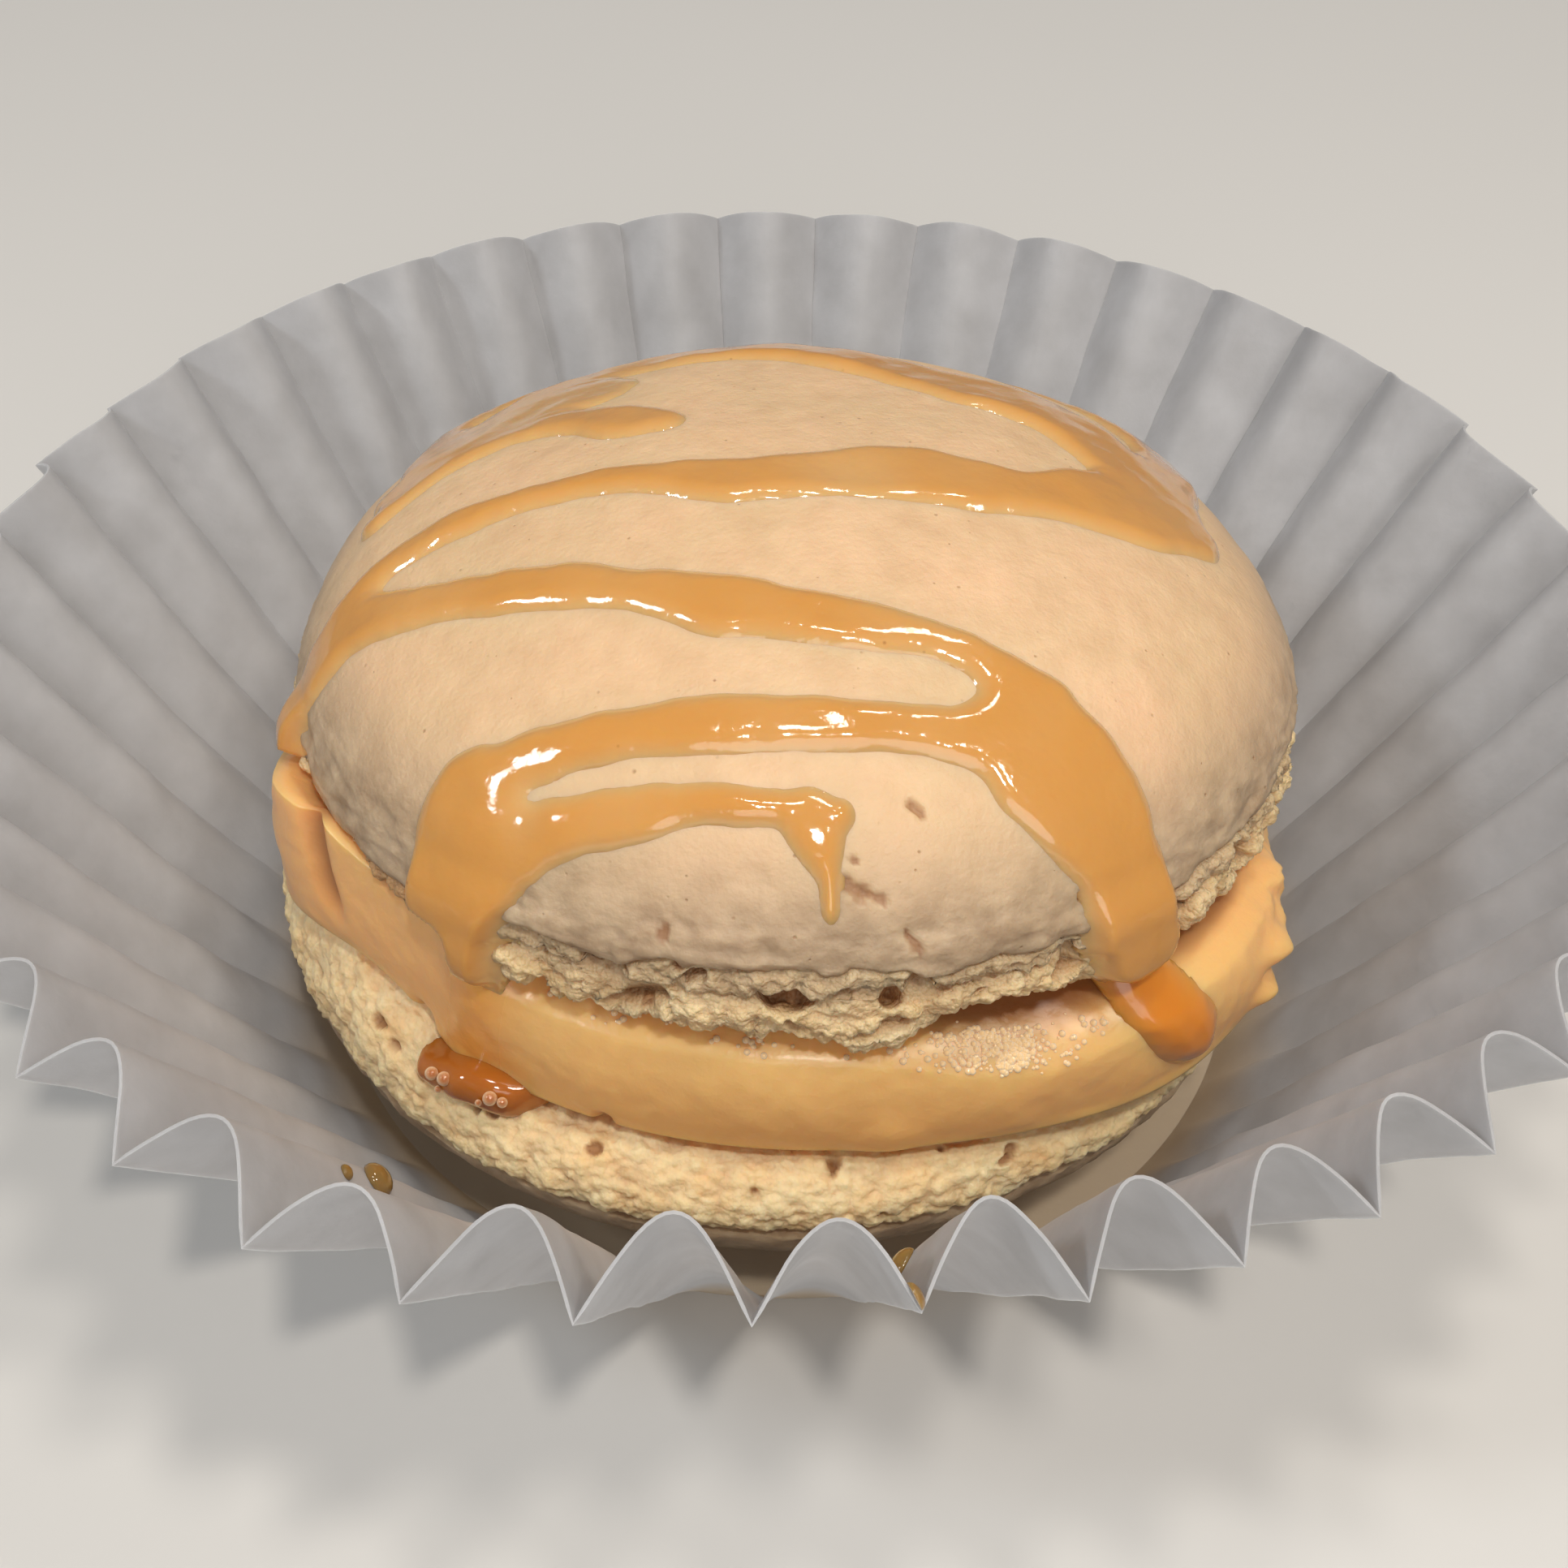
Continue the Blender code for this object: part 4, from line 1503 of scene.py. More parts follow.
DRIZZLE = (
    Pass("short pass in front", (
        (1.7, -18.15, 0.9), (0.2, -18.05, 1.0), (-1.4, -18.0, 1.15), (-2.9, -17.9, 1.25),
        (-4.4, -17.85, 1.45), (-5.9, -17.8, 1.7), (-7.4, -17.75, 1.7), (-8.9, -17.7, 1.8),
        (-10.2, -17.6, 2.2), (-11.6, -17.0, 3.2),
    )),
    Pass("its drip", (
        (0.6, -18.4, 2.1), (0.9, -18.9, 1.8), (1.1, -19.4, 1.3), (1.3, -19.85, 0.95), (1.35, -20.4, 0.75),
    )),
    Pass("front pass", (
        (-12.3, -16.1, 3.8), (-11.2, -15.6, 2.4), (-9.7, -15.4, 2.0), (-6.5, -15.3, 2.0), (-3.3, -15.3, 2.2),
        (-0.1, -15.3, 2.0), (3.1, -15.2, 1.9), (4.7, -15.1, 1.9), (6.3, -15.1, 2.3), (8.9, -14.4, 4.2),
    )),
    Pass("left pour", (
        (-12.2, -16.2, 3.4), (-12.0, -17.25, 2.6), (-12.0, -18.1, 2.2), (-12.4, -18.85, 2.0),
        (-12.9, -19.65, 1.9), (-13.4, -20.3, 1.5), (-13.7, -20.8, 1.2),
    )),
    Pass("middle pass", (
        (-19.6, -6.3, 2.6), (-18.7, -6.0, 3.1), (-17.5, -6.1, 2.8), (-15.3, -6.9, 2.2), (-13.2, -7.4, 2.0),
        (-11.2, -7.9, 2.3), (-9.2, -8.3, 2.4), (-7.2, -8.9, 2.2), (-5.2, -9.5, 2.4), (-3.3, -10.2, 3.0),
        (-1.3, -10.6, 2.8), (0.8, -10.9, 2.5), (2.8, -11.1, 2.3), (4.9, -11.3, 1.8), (6.6, -11.8, 1.8),
        (7.8, -12.5, 2.4), (8.8, -13.4, 3.4),
    )),
    Pass("right pour", (
        (8.9, -13.6, 3.4), (9.0, -14.9, 5.2), (10.2, -15.4, 5.2), (11.3, -16.0, 4.6), (12.1, -16.8, 3.9),
        (12.9, -17.3, 3.9), (13.2, -17.5, 3.9),
    )),
    Pass("top pass", (
        (-19.0, -5.4, 2.2), (-17.9, -4.4, 2.0), (-16.6, -3.5, 1.8), (-14.8, -2.9, 2.0), (-12.4, -2.6, 1.9),
        (-9.9, -2.4, 1.8), (-7.5, -2.4, 2.0), (-5.1, -2.7, 2.6), (-2.7, -3.0, 3.4), (-0.3, -2.7, 3.2),
        (2.1, -2.3, 3.6), (4.5, -2.0, 4.3), (6.9, -2.2, 3.8), (9.4, -2.0, 3.3), (11.5, -1.3, 4.2),
        (13.7, -0.6, 5.2), (15.4, 0.0, 4.0),
    )),
    Pass("pass behind the top", (
        (16.0, -0.2, 3.4), (15.2, 1.2, 3.8), (13.6, 3.4, 4.2), (12.0, 5.6, 4.6), (9.8, 6.9, 4.6),
        (7.2, 7.6, 4.2), (4.4, 8.9, 3.8), (1.3, 10.3, 3.2), (-1.9, 11.4, 2.8), (-5.4, 11.4, 2.6),
        (-9.6, 10.2, 2.4), (-12.3, 8.6, 2.3), (-14.3, 7.0, 2.2), (-16.6, 5.2, 2.0),
    )),
    Pass("hook", (
        (-5.9, 2.5, 2.2), (-7.3, 2.8, 3.0), (-9.0, 3.6, 2.6), (-10.8, 4.1, 2.3), (-12.6, 4.1, 2.2),
        (-14.3, 3.5, 2.0), (-16.2, 2.3, 1.8), (-18.0, 0.9, 1.5),
    )),
    Pass("film between the hook and the pass behind it", (
        (-8.6, 7.9, 2.8), (-9.8, 7.2, 3.8), (-12.0, 6.3, 3.6), (-15.2, 4.5, 3.0), (-17.4, 2.8, 2.2),
    )),
    Pass("last pass at the back", (
        (-16.6, 5.2, 2.0), (-14.2, 12.0, 2.4), (-8.0, 17.2, 2.6), (1.5, 19.0, 2.8), (10.5, 16.2, 2.8),
        (15.8, 9.0, 2.8), (15.6, 0.6, 3.4),
    )),
)
# Where the drizzle is thin, as (x, y, reach, share of the thickness that is left)
THIN_SPOTS = (
    (1.9, -2.8, 2.3, 0.45), (-7.5, 7.6, 3.6, 0.3), (-13.0, 6.4, 2.6, 0.35), (-9.6, -16.7, 1.0, 0.5),
    (4.4, -11.4, 2.2, 0.8), (-16.5, 3.2, 2.4, 0.6),
)


def strip_field(places: Array, passes: list[Array], blend: float) -> Array:
    """How far inside the nearest strip each place lies, with strips that meet run together.

    Args:
        places: Rows of x, y.
        passes: Routes of (x, y, width).
        blend: How softly strips run into each other.

    Returns:
        The distance inside the edge, less than zero outside.
    """
    total = np.zeros(len(places))
    for route in passes:
        best = np.full(len(places), -1.0)
        margin = route[:, 2].max()
        low, high = route[:, :2].min(axis=0) - margin, route[:, :2].max(axis=0) + margin
        close = np.nonzero(((places > low) & (places < high)).all(axis=1))[0]
        for x, y, width in route:
            apart = np.hypot(places[close, 0] - x, places[close, 1] - y)
            best[close] = np.maximum(best[close], width / 2 - apart)
        total += np.exp(np.maximum(best, -12 * blend) / blend)
    return blend * np.log(total)


@dataclass(frozen=True)
class Bead:
    """The cross-section of poured caramel: a round shoulder up to a nearly flat back."""

    height: float
    shoulder: float

    def thickness(self, inside: Array) -> Array:
        """The thickness, and a dive under the surface outside the edge.

        Args:
            inside: Distances inside the edge.

        Returns:
            One thickness a distance.
        """
        share = np.clip(inside / self.shoulder, 0.0, 1.0)
        dive = 2 * self.height / self.shoulder * np.minimum(inside, 0.0)
        return self.height * (1 - (1 - share) ** 2) + dive


@dataclass(frozen=True)
class Drizzle:
    """The caramel drizzle over the upper shell."""

    shell: MacaronShell
    passes: tuple[Pass, ...] = DRIZZLE
    bead: Bead = Bead(height=0.36 * MM, shoulder=0.8 * MM)
    step: float = 0.19 * MM
    route_step: float = 0.25 * MM
    blend: float = 0.16 * MM
    wobble: float = 0.13 * MM
    wobble_size: float = 2.4 * MM
    steepness: Pair = (0.35, 1.2)
    pooling: float = 0.22
    pool_size: float = 4.5 * MM
    pool_shift: float = 5 * MM
    sunk: float = 0.45 * MM
    sunk_at_foot: float = 0.35 * MM
    near_foot: float = 2.0 * MM
    dive: float = 0.65
    skirt: float = 0.28 * MM
    skirt_at_foot: float = 0.2 * MM
    # How far the drizzle stands off the torn foot, and where that starts and ends along it and across its edge
    foot_cover: float = 0.6 * MM
    cover_start: Pair = (-2.8 * MM, -0.5 * MM)
    cover_end: Pair = (1.6 * MM, 3.2 * MM)
    cover_edge: Pair = (-0.15 * MM, 0.7 * MM)
    foot_thinning: float = 0.75
    thinned_over: Pair = (1.2 * MM, 3.4 * MM)
    foot_reach: float = 4.2 * MM
    rounding: float = 0.9 * MM
    foot_outline: tuple[Pair, ...] = ((0.15, 0.2), (0.2, 0.6), (0.05, 1.0), (-0.25, 1.4), (-0.6, 1.8))
    thin_spots: tuple[Four, ...] = THIN_SPOTS
    seed: int = 31

    def rounded(self, outline: Array) -> Array:
        """The outline with its corners rounded off, in even steps.

        Args:
            outline: Rows of (distance along, radius, height).

        Returns:
            Rows of the same.
        """
        along = np.arange(0.0, outline[-1, 0], OUTLINE_STEP)
        window = np.hanning(2 * int(self.rounding / OUTLINE_STEP) + 1)
        window /= window.sum()
        columns = [along]
        for column in (1, 2):
            values = np.interp(along, outline[:, 0], outline[:, column])
            padded = np.pad(values, len(window) // 2, mode="reflect", reflect_type="odd")
            columns.append(np.convolve(padded, window, mode="valid"))
        return np.column_stack(columns)

    def thinned(self, thick: Array, places: Array) -> Array:
        """The thickness with its thin spots.

        Args:
            thick: One thickness a place.
            places: Rows of x, y in the shell's plan.

        Returns:
            The thicknesses.
        """
        for x, y, reach, left in self.thin_spots:
            near = bell(np.hypot(places[:, 0] - x * MM, places[:, 1] - y * MM), reach * MM)
            thick = np.where(thick > 0, thick * (1 - (1 - left) * near), thick)
        return thick

    def build(self, finish: CaramelFinish) -> None:
        """Builds the drizzle and adds it.

        Args:
            finish: The caramel.
        """
        form = replace(self.shell.form, foot_outline=self.foot_outline)
        foot_line = form.foot_line()
        outline = self.rounded(form.outline())
        reach = foot_line + self.foot_reach
        axis = np.arange(-reach, reach + self.step, self.step)
        u, v = np.meshgrid(axis, axis, indexing="ij")
        shape = u.shape
        away = np.hypot(u, v).ravel()
        inside_form = away < reach
        along = np.clip(away, 1e-6, outline[-1, 0])
        cos, sin = u.ravel() / away.clip(1e-6), v.ravel() / away.clip(1e-6)
        slope = np.gradient(outline[:, 1:], outline[:, 0], axis=0)
        radius, height, up, fall = (
            np.interp(along, outline[:, 0], column) for column in (*outline[:, 1:].T, *slope.T)
        )
        points = np.column_stack([radius * cos, radius * sin, height])
        normal = np.column_stack([-fall * cos, -fall * sin, up])
        normal /= np.linalg.norm(normal, axis=1)[:, None]
        plan = np.where(along > foot_line, form.radius + along - foot_line, radius)
        places = np.column_stack([plan * cos, plan * sin])
        routes = [smooth_route(np.array(one.stations) * MM, self.route_step) for one in self.passes]
        noise = Noise(self.seed)
        field = strip_field(places, routes, self.blend) + self.wobble * noise.waves(points, self.wobble_size, 2)
        slopes = np.gradient(field.reshape(shape), self.step)
        inside = field / np.hypot(*slopes).ravel().clip(*self.steepness)
        pools = 1 + self.pooling * noise.waves(points + self.pool_shift, self.pool_size)
        thick = self.thinned(self.bead.thickness(inside) * pools, places)
        past_line = along - foot_line
        cover = self.foot_cover * smooth_step(*self.cover_start, past_line)
        cover *= 1 - smooth_step(*self.cover_end, past_line)
        cover *= smooth_step(*self.cover_edge, inside)
        near_foot = smooth_step(-self.near_foot, 0.0, past_line)
        sunk = self.sunk + self.sunk_at_foot * near_foot
        thick *= 1 - self.foot_thinning * smooth_step(*self.thinned_over, past_line)
        base = points + normal * (self.shell.skin_wave(points) + cover)[:, None]
        top = base + normal * np.maximum(thick, -self.dive * sunk)[:, None]
        bottom = base - normal * sunk[:, None]
        live = ((inside > -self.skirt - self.skirt_at_foot * near_foot) & inside_form).reshape(shape)
        solid, faces, origin = patch_solid(top, bottom, live)
        depth = np.clip(thick / self.bead.height, 0, 1.2)[origin]
        mesh = make_mesh("caramel_drizzle", form.place(solid), faces, {Tag.DEPTH: depth})
        add_piece(mesh, finish.build())


# The filling and the caramel layer


@dataclass(frozen=True)
class Bulge:
    """Where the filling stands out or draws back: an angle, a share of the height, and how far each way."""

    turn_deg: float
    share: float
    turn_spread_deg: float
    share_spread: float
    height: float

    def at(self, turn: Array, share: Array) -> Array:
        """How much each place belongs to it, 1 in its middle."""
        near = turn_bell(turn, self.turn_deg, self.turn_spread_deg)
        return near * bell(share - self.share, self.share_spread)


@dataclass(frozen=True)
class Filling:
    """The buttercream wedge, with its ragged right side, its slit at the left and its bubbly upper edge."""

    centre: Pair = (0.0, -2.4 * MM)
    radius: float = 21.5 * MM
    crown: float = 0.7 * MM
    floor: float = 12.2 * MM
    setback: float = 1.1 * MM
    lip: float = 2.0 * MM
    lip_start: float = 0.74
    lip_gap: Triple = (-64.0, 14.0, 0.22)
    low_edge_share: float = 0.3
    high_edge_share: float = 0.12
    right_squeeze: Four = (-43.0, 25.0, 21.0, 2.2 * MM)
    left_squeeze: Triple = (-155.0, 12.0, 1.75 * MM)
    # Angle in degrees to rise in mm: of the lower edge, and of the upper edge
    floor_rises: tuple[Pair, ...] = (
        (-180.0, 0.0), (-165.0, 1.0), (-157.0, 1.6), (-150.0, 2.1), (-143.0, 2.2), (-138.0, 1.9),
        (-134.0, 1.3), (-131.0, 0.6), (-129.0, 0.2), (-126.4, 0.0), (-122.0, 0.0), (180.0, 0.0),
    )
    top_rises: tuple[Pair, ...] = (
        (-180.0, 0.2), (-165.0, 1.6), (-155.0, 2.6), (-147.0, 2.7), (-143.0, 2.1), (-138.0, 1.6),
        (-128.0, 1.6), (-123.0, 1.3), (-119.0, 0.3), (-116.0, 0.0), (170.0, 0.0), (180.0, 0.2),
    )
    # The slit's angle at its foot and at its top, the share at which it starts, its half width and its depth
    slit: tuple[float, ...] = (-145.0, -149.0, 0.25, 1.5, 0.5 * MM)
    # Angle, height in mm and half width in degrees of the caramel streak
    streak: tuple[Triple, ...] = ((-123.0, 19.0, 3.2), (-124.0, 16.0, 3.6), (-125.3, 13.0, 4.0))
    streak_height: float = 0.25 * MM
    bulges: tuple[Bulge, ...] = (
        Bulge(-30.5, 0.45, 2.6, 0.12, 0.9 * MM),
        Bulge(-33.0, 0.14, 2.4, 0.1, 0.75 * MM),
        Bulge(-31.5, 0.29, 2.0, 0.06, -0.6 * MM),
        Bulge(-24.0, 0.6, 3.0, 0.2, 0.5 * MM),
        Bulge(-79.0, 0.1, 3.0, 0.16, 0.25 * MM),
    )
    # Small dents, which also take painted shade
    hollows: tuple[Bulge, ...] = (
        Bulge(-129.5, 0.97, 2.4, 0.06, -0.3 * MM),
        Bulge(-124.0, 0.95, 3.0, 0.055, -0.35 * MM),
        Bulge(-136.5, 1.0, 2.2, 0.06, -0.3 * MM),
        Bulge(-132.6, 0.0, 1.1, 0.09, -0.7 * MM),
        Bulge(-109.0, 0.0, 0.8, 0.08, -0.5 * MM),
    )
    columns: int = 900
    rows: int = 56
    wave: float = 0.22 * MM
    wave_size: float = 5 * MM
    ripple: float = 0.05 * MM
    ripple_size: float = 1.2 * MM
    ragged: float = 0.35 * MM
    ragged_size: float = 1.5 * MM
    ragged_side: Pair = (-22.0, 9.0)
    smooth_foot: float = 0.12
    height: float = 7.0 * MM
    # Rings over the top edge, as (share of the way out, share of the rise that is left)
    shoulders: tuple[Pair, ...] = ((0.80, 0.0), (0.92, 0.6), (0.97, 0.9))
    hem: float = 0.93
    # Angle, half width and strength of the two places with bubbles, and of the paler tips
    bead_sides: tuple[Triple, ...] = ((-68.0, 7.0, 1.8), (-95.0, 14.0, 0.12))
    cluster_size: float = 1.6 * MM
    tips: Triple = (-22.0, 14.0, 0.8)
    # How much painted shade lies in the slit
    slit_dark: float = 0.8
    clearance: float = 0.1 * MM
    seed: int = 41

    def reach(self, turn: Array, share: Array) -> Array:
        """The distance from the axis to the smooth side.

        Args:
            turn: Angles round the axis.
            share: Shares of the way from the lower edge to the upper.

        Returns:
            Distances.
        """
        rounded = 1 - self.low_edge_share - self.high_edge_share
        swell = np.sin(math.pi * (self.low_edge_share + rounded * share))
        radius = self.radius - self.crown * (1 - swell) - self.setback * share**3 * (1 - self.left_side(turn))
        radius = radius - self.lip_back(turn, share)
        middle, front_spread, end, height = self.right_squeeze
        past = np.degrees(angle_apart(turn, math.radians(middle)))
        radius = radius + height * np.where(past < 0, bell(past, front_spread), np.exp(-((past / end) ** 4)))
        middle, spread, height = self.left_squeeze
        radius = radius + height * turn_bell(turn, middle, spread)
        radius = radius - self.slit[4] * self.in_slit(turn, share)
        radius = radius + self.streak_height * self.in_streak(turn, share)
        for bulge in self.bulges + self.hollows:
            near = turn_bell(turn, bulge.turn_deg, bulge.turn_spread_deg)
            radius = radius + bulge.height * near * bell(share - bulge.share, bulge.share_spread)
        return radius

    def floor_at(self, turn: Array) -> Array:
        """The height of the lower edge at each angle."""
        return self.floor + soft_table(self.floor_rises, turn)

    def top_rise(self, turn: Array) -> Array:
        """How far the upper edge has risen past the upper shell's underside at each angle."""
        return soft_table(self.top_rises, turn)

    def left_side(self, turn: Array) -> Array:
        """The share by which each angle belongs to the left, where the cream has risen past the foot."""
        return smooth_step(0.2 * MM, 1.4 * MM, self.top_rise(turn))

    def in_streak(self, turn: Array, share: Array) -> Array:
        """How much each place lies in the caramel streak at the left.

        Args:
            turn: Angles.
            share: Shares of the height.

        Returns:
            1 along its middle, down to 0.
        """
        table = np.array(self.streak)[::-1]
        height = (self.floor + self.height * share) / MM
        middle = np.interp(height, table[:, 1], table[:, 0])
        spread = np.interp(height, table[:, 1], table[:, 2])
        return bell(np.degrees(angle_apart(turn, np.radians(middle))), spread)

    def in_hollow(self, turn: Array, share: Array) -> Array:
        """How deep in one of the small hollows each place lies, 0 to 1."""
        return np.max([hollow.at(turn, share) for hollow in self.hollows], axis=0)

    def in_slit(self, turn: Array, share: Array) -> Array:
        """How deep in the left slit each place lies.

        Args:
            turn: Angles.
            share: Shares of the height.

        Returns:
            1 along its middle, down to 0.
        """
        low_turn, high_turn, start, spread, _ = self.slit
        up = np.clip((share - start) / (1 - start), 0.0, 1.0)
        middle = np.radians(low_turn + (high_turn - low_turn) * up)
        near = bell(angle_apart(turn, middle), math.radians(spread))
        return near * smooth_step(start - 0.08, start + 0.2, share)

    def lip_back(self, turn: Array, share: Array) -> Array:
        """How far the upper edge draws back, lower down where a gap shows under the shell.

        Args:
            turn: Angles.
            share: Shares of the height.

        Returns:
            Distances.
        """
        middle, spread, gap = self.lip_gap
        start = self.lip_start - gap * turn_bell(turn, middle, spread)
        rise = np.clip((share - start) / (1 - start), 0, 1)
        return self.lip * rise**2 * (3 - 2 * rise) * (1 - self.left_side(turn))

    def ceiling(self, y: Array) -> Array:
        """The height of the upper shell's underside.

        Args:
            y: Places of the base, from front to back.

        Returns:
            Heights.
        """
        form = UPPER
        middle_y = form.centre[1] + form.foot * math.sin(form.turn_about_x)
        middle_z = form.centre[2] - form.foot * math.cos(form.turn_about_x)
        return middle_z + (y - middle_y) * math.tan(form.turn_about_x) - self.clearance

    def side(self, turn: Array, share: Array) -> Array:
        """Points of the finished side.

        Args:
            turn: Angles.
            share: Shares of the height.

        Returns:
            Rows of x, y, z.
        """
        smooth = self.reach(turn, share)
        place = round_axis(smooth, turn, share * 5 * MM)
        noise = Noise(self.seed)
        rough = self.wave * noise.waves(place, self.wave_size)
        rough += self.ripple * noise.waves(place, self.ripple_size, 2)
        rough += turn_bell(turn, *self.ragged_side) * self.ragged * noise.waves(place, self.ragged_size, 3)
        points = round_axis(smooth + rough * smooth_step(0.0, self.smooth_foot, share), turn, 0.0)
        points[:, :2] += self.centre
        floor, top = self.floor_at(turn), self.ceiling(points[:, 1]) + self.top_rise(turn)
        points[:, 2] = floor + (top - floor) * share
        return points

    def build(self, finish: CreamFinish) -> Mesh:
        """Builds the filling and adds it.

        Args:
            finish: The buttercream.

        Returns:
            Its mesh, for what lies on it.
        """
        turn = np.tile(np.linspace(0.0, math.tau, self.columns, endpoint=False), self.rows)
        share = np.repeat(np.linspace(1.0, 0.0, self.rows), self.columns)
        points = self.side(turn, share)
        rings = points.reshape(self.rows, self.columns, 3)
        middle = np.array(self.centre)
        first = turn[: self.columns]
        risen = self.top_rise(first)
        shoulders = []
        for pull, rise_left in self.shoulders:
            ring = rings[0].copy()
            ring[:, :2] = middle + (ring[:, :2] - middle) * pull
            ring[:, 2] = self.ceiling(ring[:, 1]) + risen * rise_left
            shoulders.append(ring)
        hem = rings[-1].copy()
        hem[:, :2] = middle + (hem[:, :2] - middle) * self.hem
        stacked = np.vstack([*shoulders, points, hem])
        ends = [[*self.centre, shoulders[0][:, 2].mean()], [*self.centre, self.floor]]
        share = np.concatenate([np.ones(len(shoulders) * self.columns), share, np.zeros(self.columns)])
        turn = np.concatenate([np.tile(first, len(shoulders)), turn, first])
        back = self.lip_back(turn, share) / self.lip
        band = smooth_step(0.0, 0.06, back) * (1 - smooth_step(0.35, 0.6, back))
        clusters = 0.3 + 0.7 * smooth_step(-0.1, 0.5, Noise(self.seed + 2).waves(stacked, self.cluster_size))
        beady = sum(strength * turn_bell(turn, at, spread) for at, spread, strength in self.bead_sides)
        at, spread, strength = self.tips
        peachy = np.maximum(self.left_side(turn), strength * turn_bell(turn, at, spread))
        # Painted shade in the gap under the upper shell and in the slit
        shade_share = np.maximum(smooth_step(0.3, 0.75, back), self.slit_dark * self.in_slit(turn, share))
        layers = {
            # The share of the height, for the painted shade that deepens the cream towards its lower edge
            Tag.DEPTH: np.append(smooth_step(0.05, 0.75, share), [1.0, 0.0]),
            Tag.PAINTED_SHADE: np.append(np.maximum(shade_share, self.in_hollow(turn, share)), [1.0, 0.0]),
            Tag.BEADS: np.append(np.clip(beady, 0, 1.3) * band * clusters, [0.0, 0.0]),
            Tag.STREAK: np.append(self.in_streak(turn, share), [0.0, 0.0]),
            Tag.EDGE: np.append(peachy, [0.0, 0.0]),
        }
        faces = turned_faces(self.rows + len(shoulders) + 1, self.columns)
        mesh = make_mesh("buttercream", np.vstack([stacked, ends]), faces, layers)
        add_piece(mesh, finish.build(), ("filling",))
        return mesh


@dataclass(frozen=True)
class Pour:
    """Caramel that ran down the filling's side: (angle in degrees, height in mm, width in mm) from its top."""

    name: str
    stations: tuple[Triple, ...]
    bead: Bead
    step: float = 0.12 * MM
    route_step: float = 0.2 * MM
    blend: float = 0.1 * MM
    sunk: float = 0.4 * MM
    dive: float = 0.6
    skirt: float = 0.2 * MM
    margin: float = 4 * MM
    heights: Pair = (9.6 * MM, 19.8 * MM)
    wobble: float = 0.12 * MM
    wobble_size: float = 2 * MM
    pooling: float = 0.2
    pool_size: float = 3 * MM
    lip_cover: float = 0.6
    flare: float = 1.0 * MM
    seed: int = 53

    def build(self, filling: Filling, finish: CaramelFinish) -> None:
        """Builds the pour and adds it.

        Args:
            filling: What it ran down.
            finish: Its caramel.
        """
        reach = filling.radius
        stations = [(math.radians(turn) * reach, z * MM, width * MM) for turn, z, width in self.stations]
        stations = np.array(stations)
        arcs = stations[:, 0].min() - self.margin, stations[:, 0].max() + self.margin
        axes = (np.arange(*arcs, self.step), np.arange(*self.heights, self.step))
        arc, height = np.meshgrid(*axes, indexing="ij")
        shape = arc.shape
        arc, height = arc.ravel(), height.ravel()
        turn = arc / reach
        noise = Noise(self.seed)
        route = smooth_route(stations, self.route_step)
        inside = strip_field(np.column_stack([arc, height]), [route], self.blend)
        flat = np.column_stack([arc, height, np.zeros(len(height))])
        inside += self.wobble * noise.waves(flat, self.wobble_size, 2)
        thick = self.bead.thickness(inside) * (1 + self.pooling * noise.waves(flat, self.pool_size))
        floor = filling.floor_at(turn)
        top = filling.ceiling(filling.centre[1] + reach * np.sin(turn)) + filling.top_rise(turn)
        share = (height - floor) / (top - floor)
        bounded = np.clip(share, 0.0, 1.0)
        side = filling.side(turn, bounded)
        away = np.hypot(side[:, 0] - filling.centre[0], side[:, 1] - filling.centre[1])
        over = self.lip_cover * filling.lip_back(turn, bounded)
        under = np.clip(-share, 0.0, None) * self.flare
        outer = round_axis(away + np.maximum(thick, -self.dive * self.sunk) + over + under, turn, height)
        inner = round_axis(away - self.sunk, turn, height)
        outer[:, :2] += filling.centre
        inner[:, :2] += filling.centre
        solid, faces, origin = patch_solid(outer, inner, (inside > -self.skirt).reshape(shape))
        depth = np.clip(thick / self.bead.height, 0, 1)[origin]
        add_piece(make_mesh(self.name, solid, faces, {Tag.DEPTH: depth}), finish.build())


AMBER_DROP = Pour(
    "amber_drop",
    (
        (-52.6, 19.2, 2.5), (-51.3, 17.8, 2.6), (-49.4, 16.3, 2.9), (-47.4, 15.0, 3.0), (-46.3, 14.1, 2.3),
    ),
    Bead(height=0.7 * MM, shoulder=1.3 * MM),
)


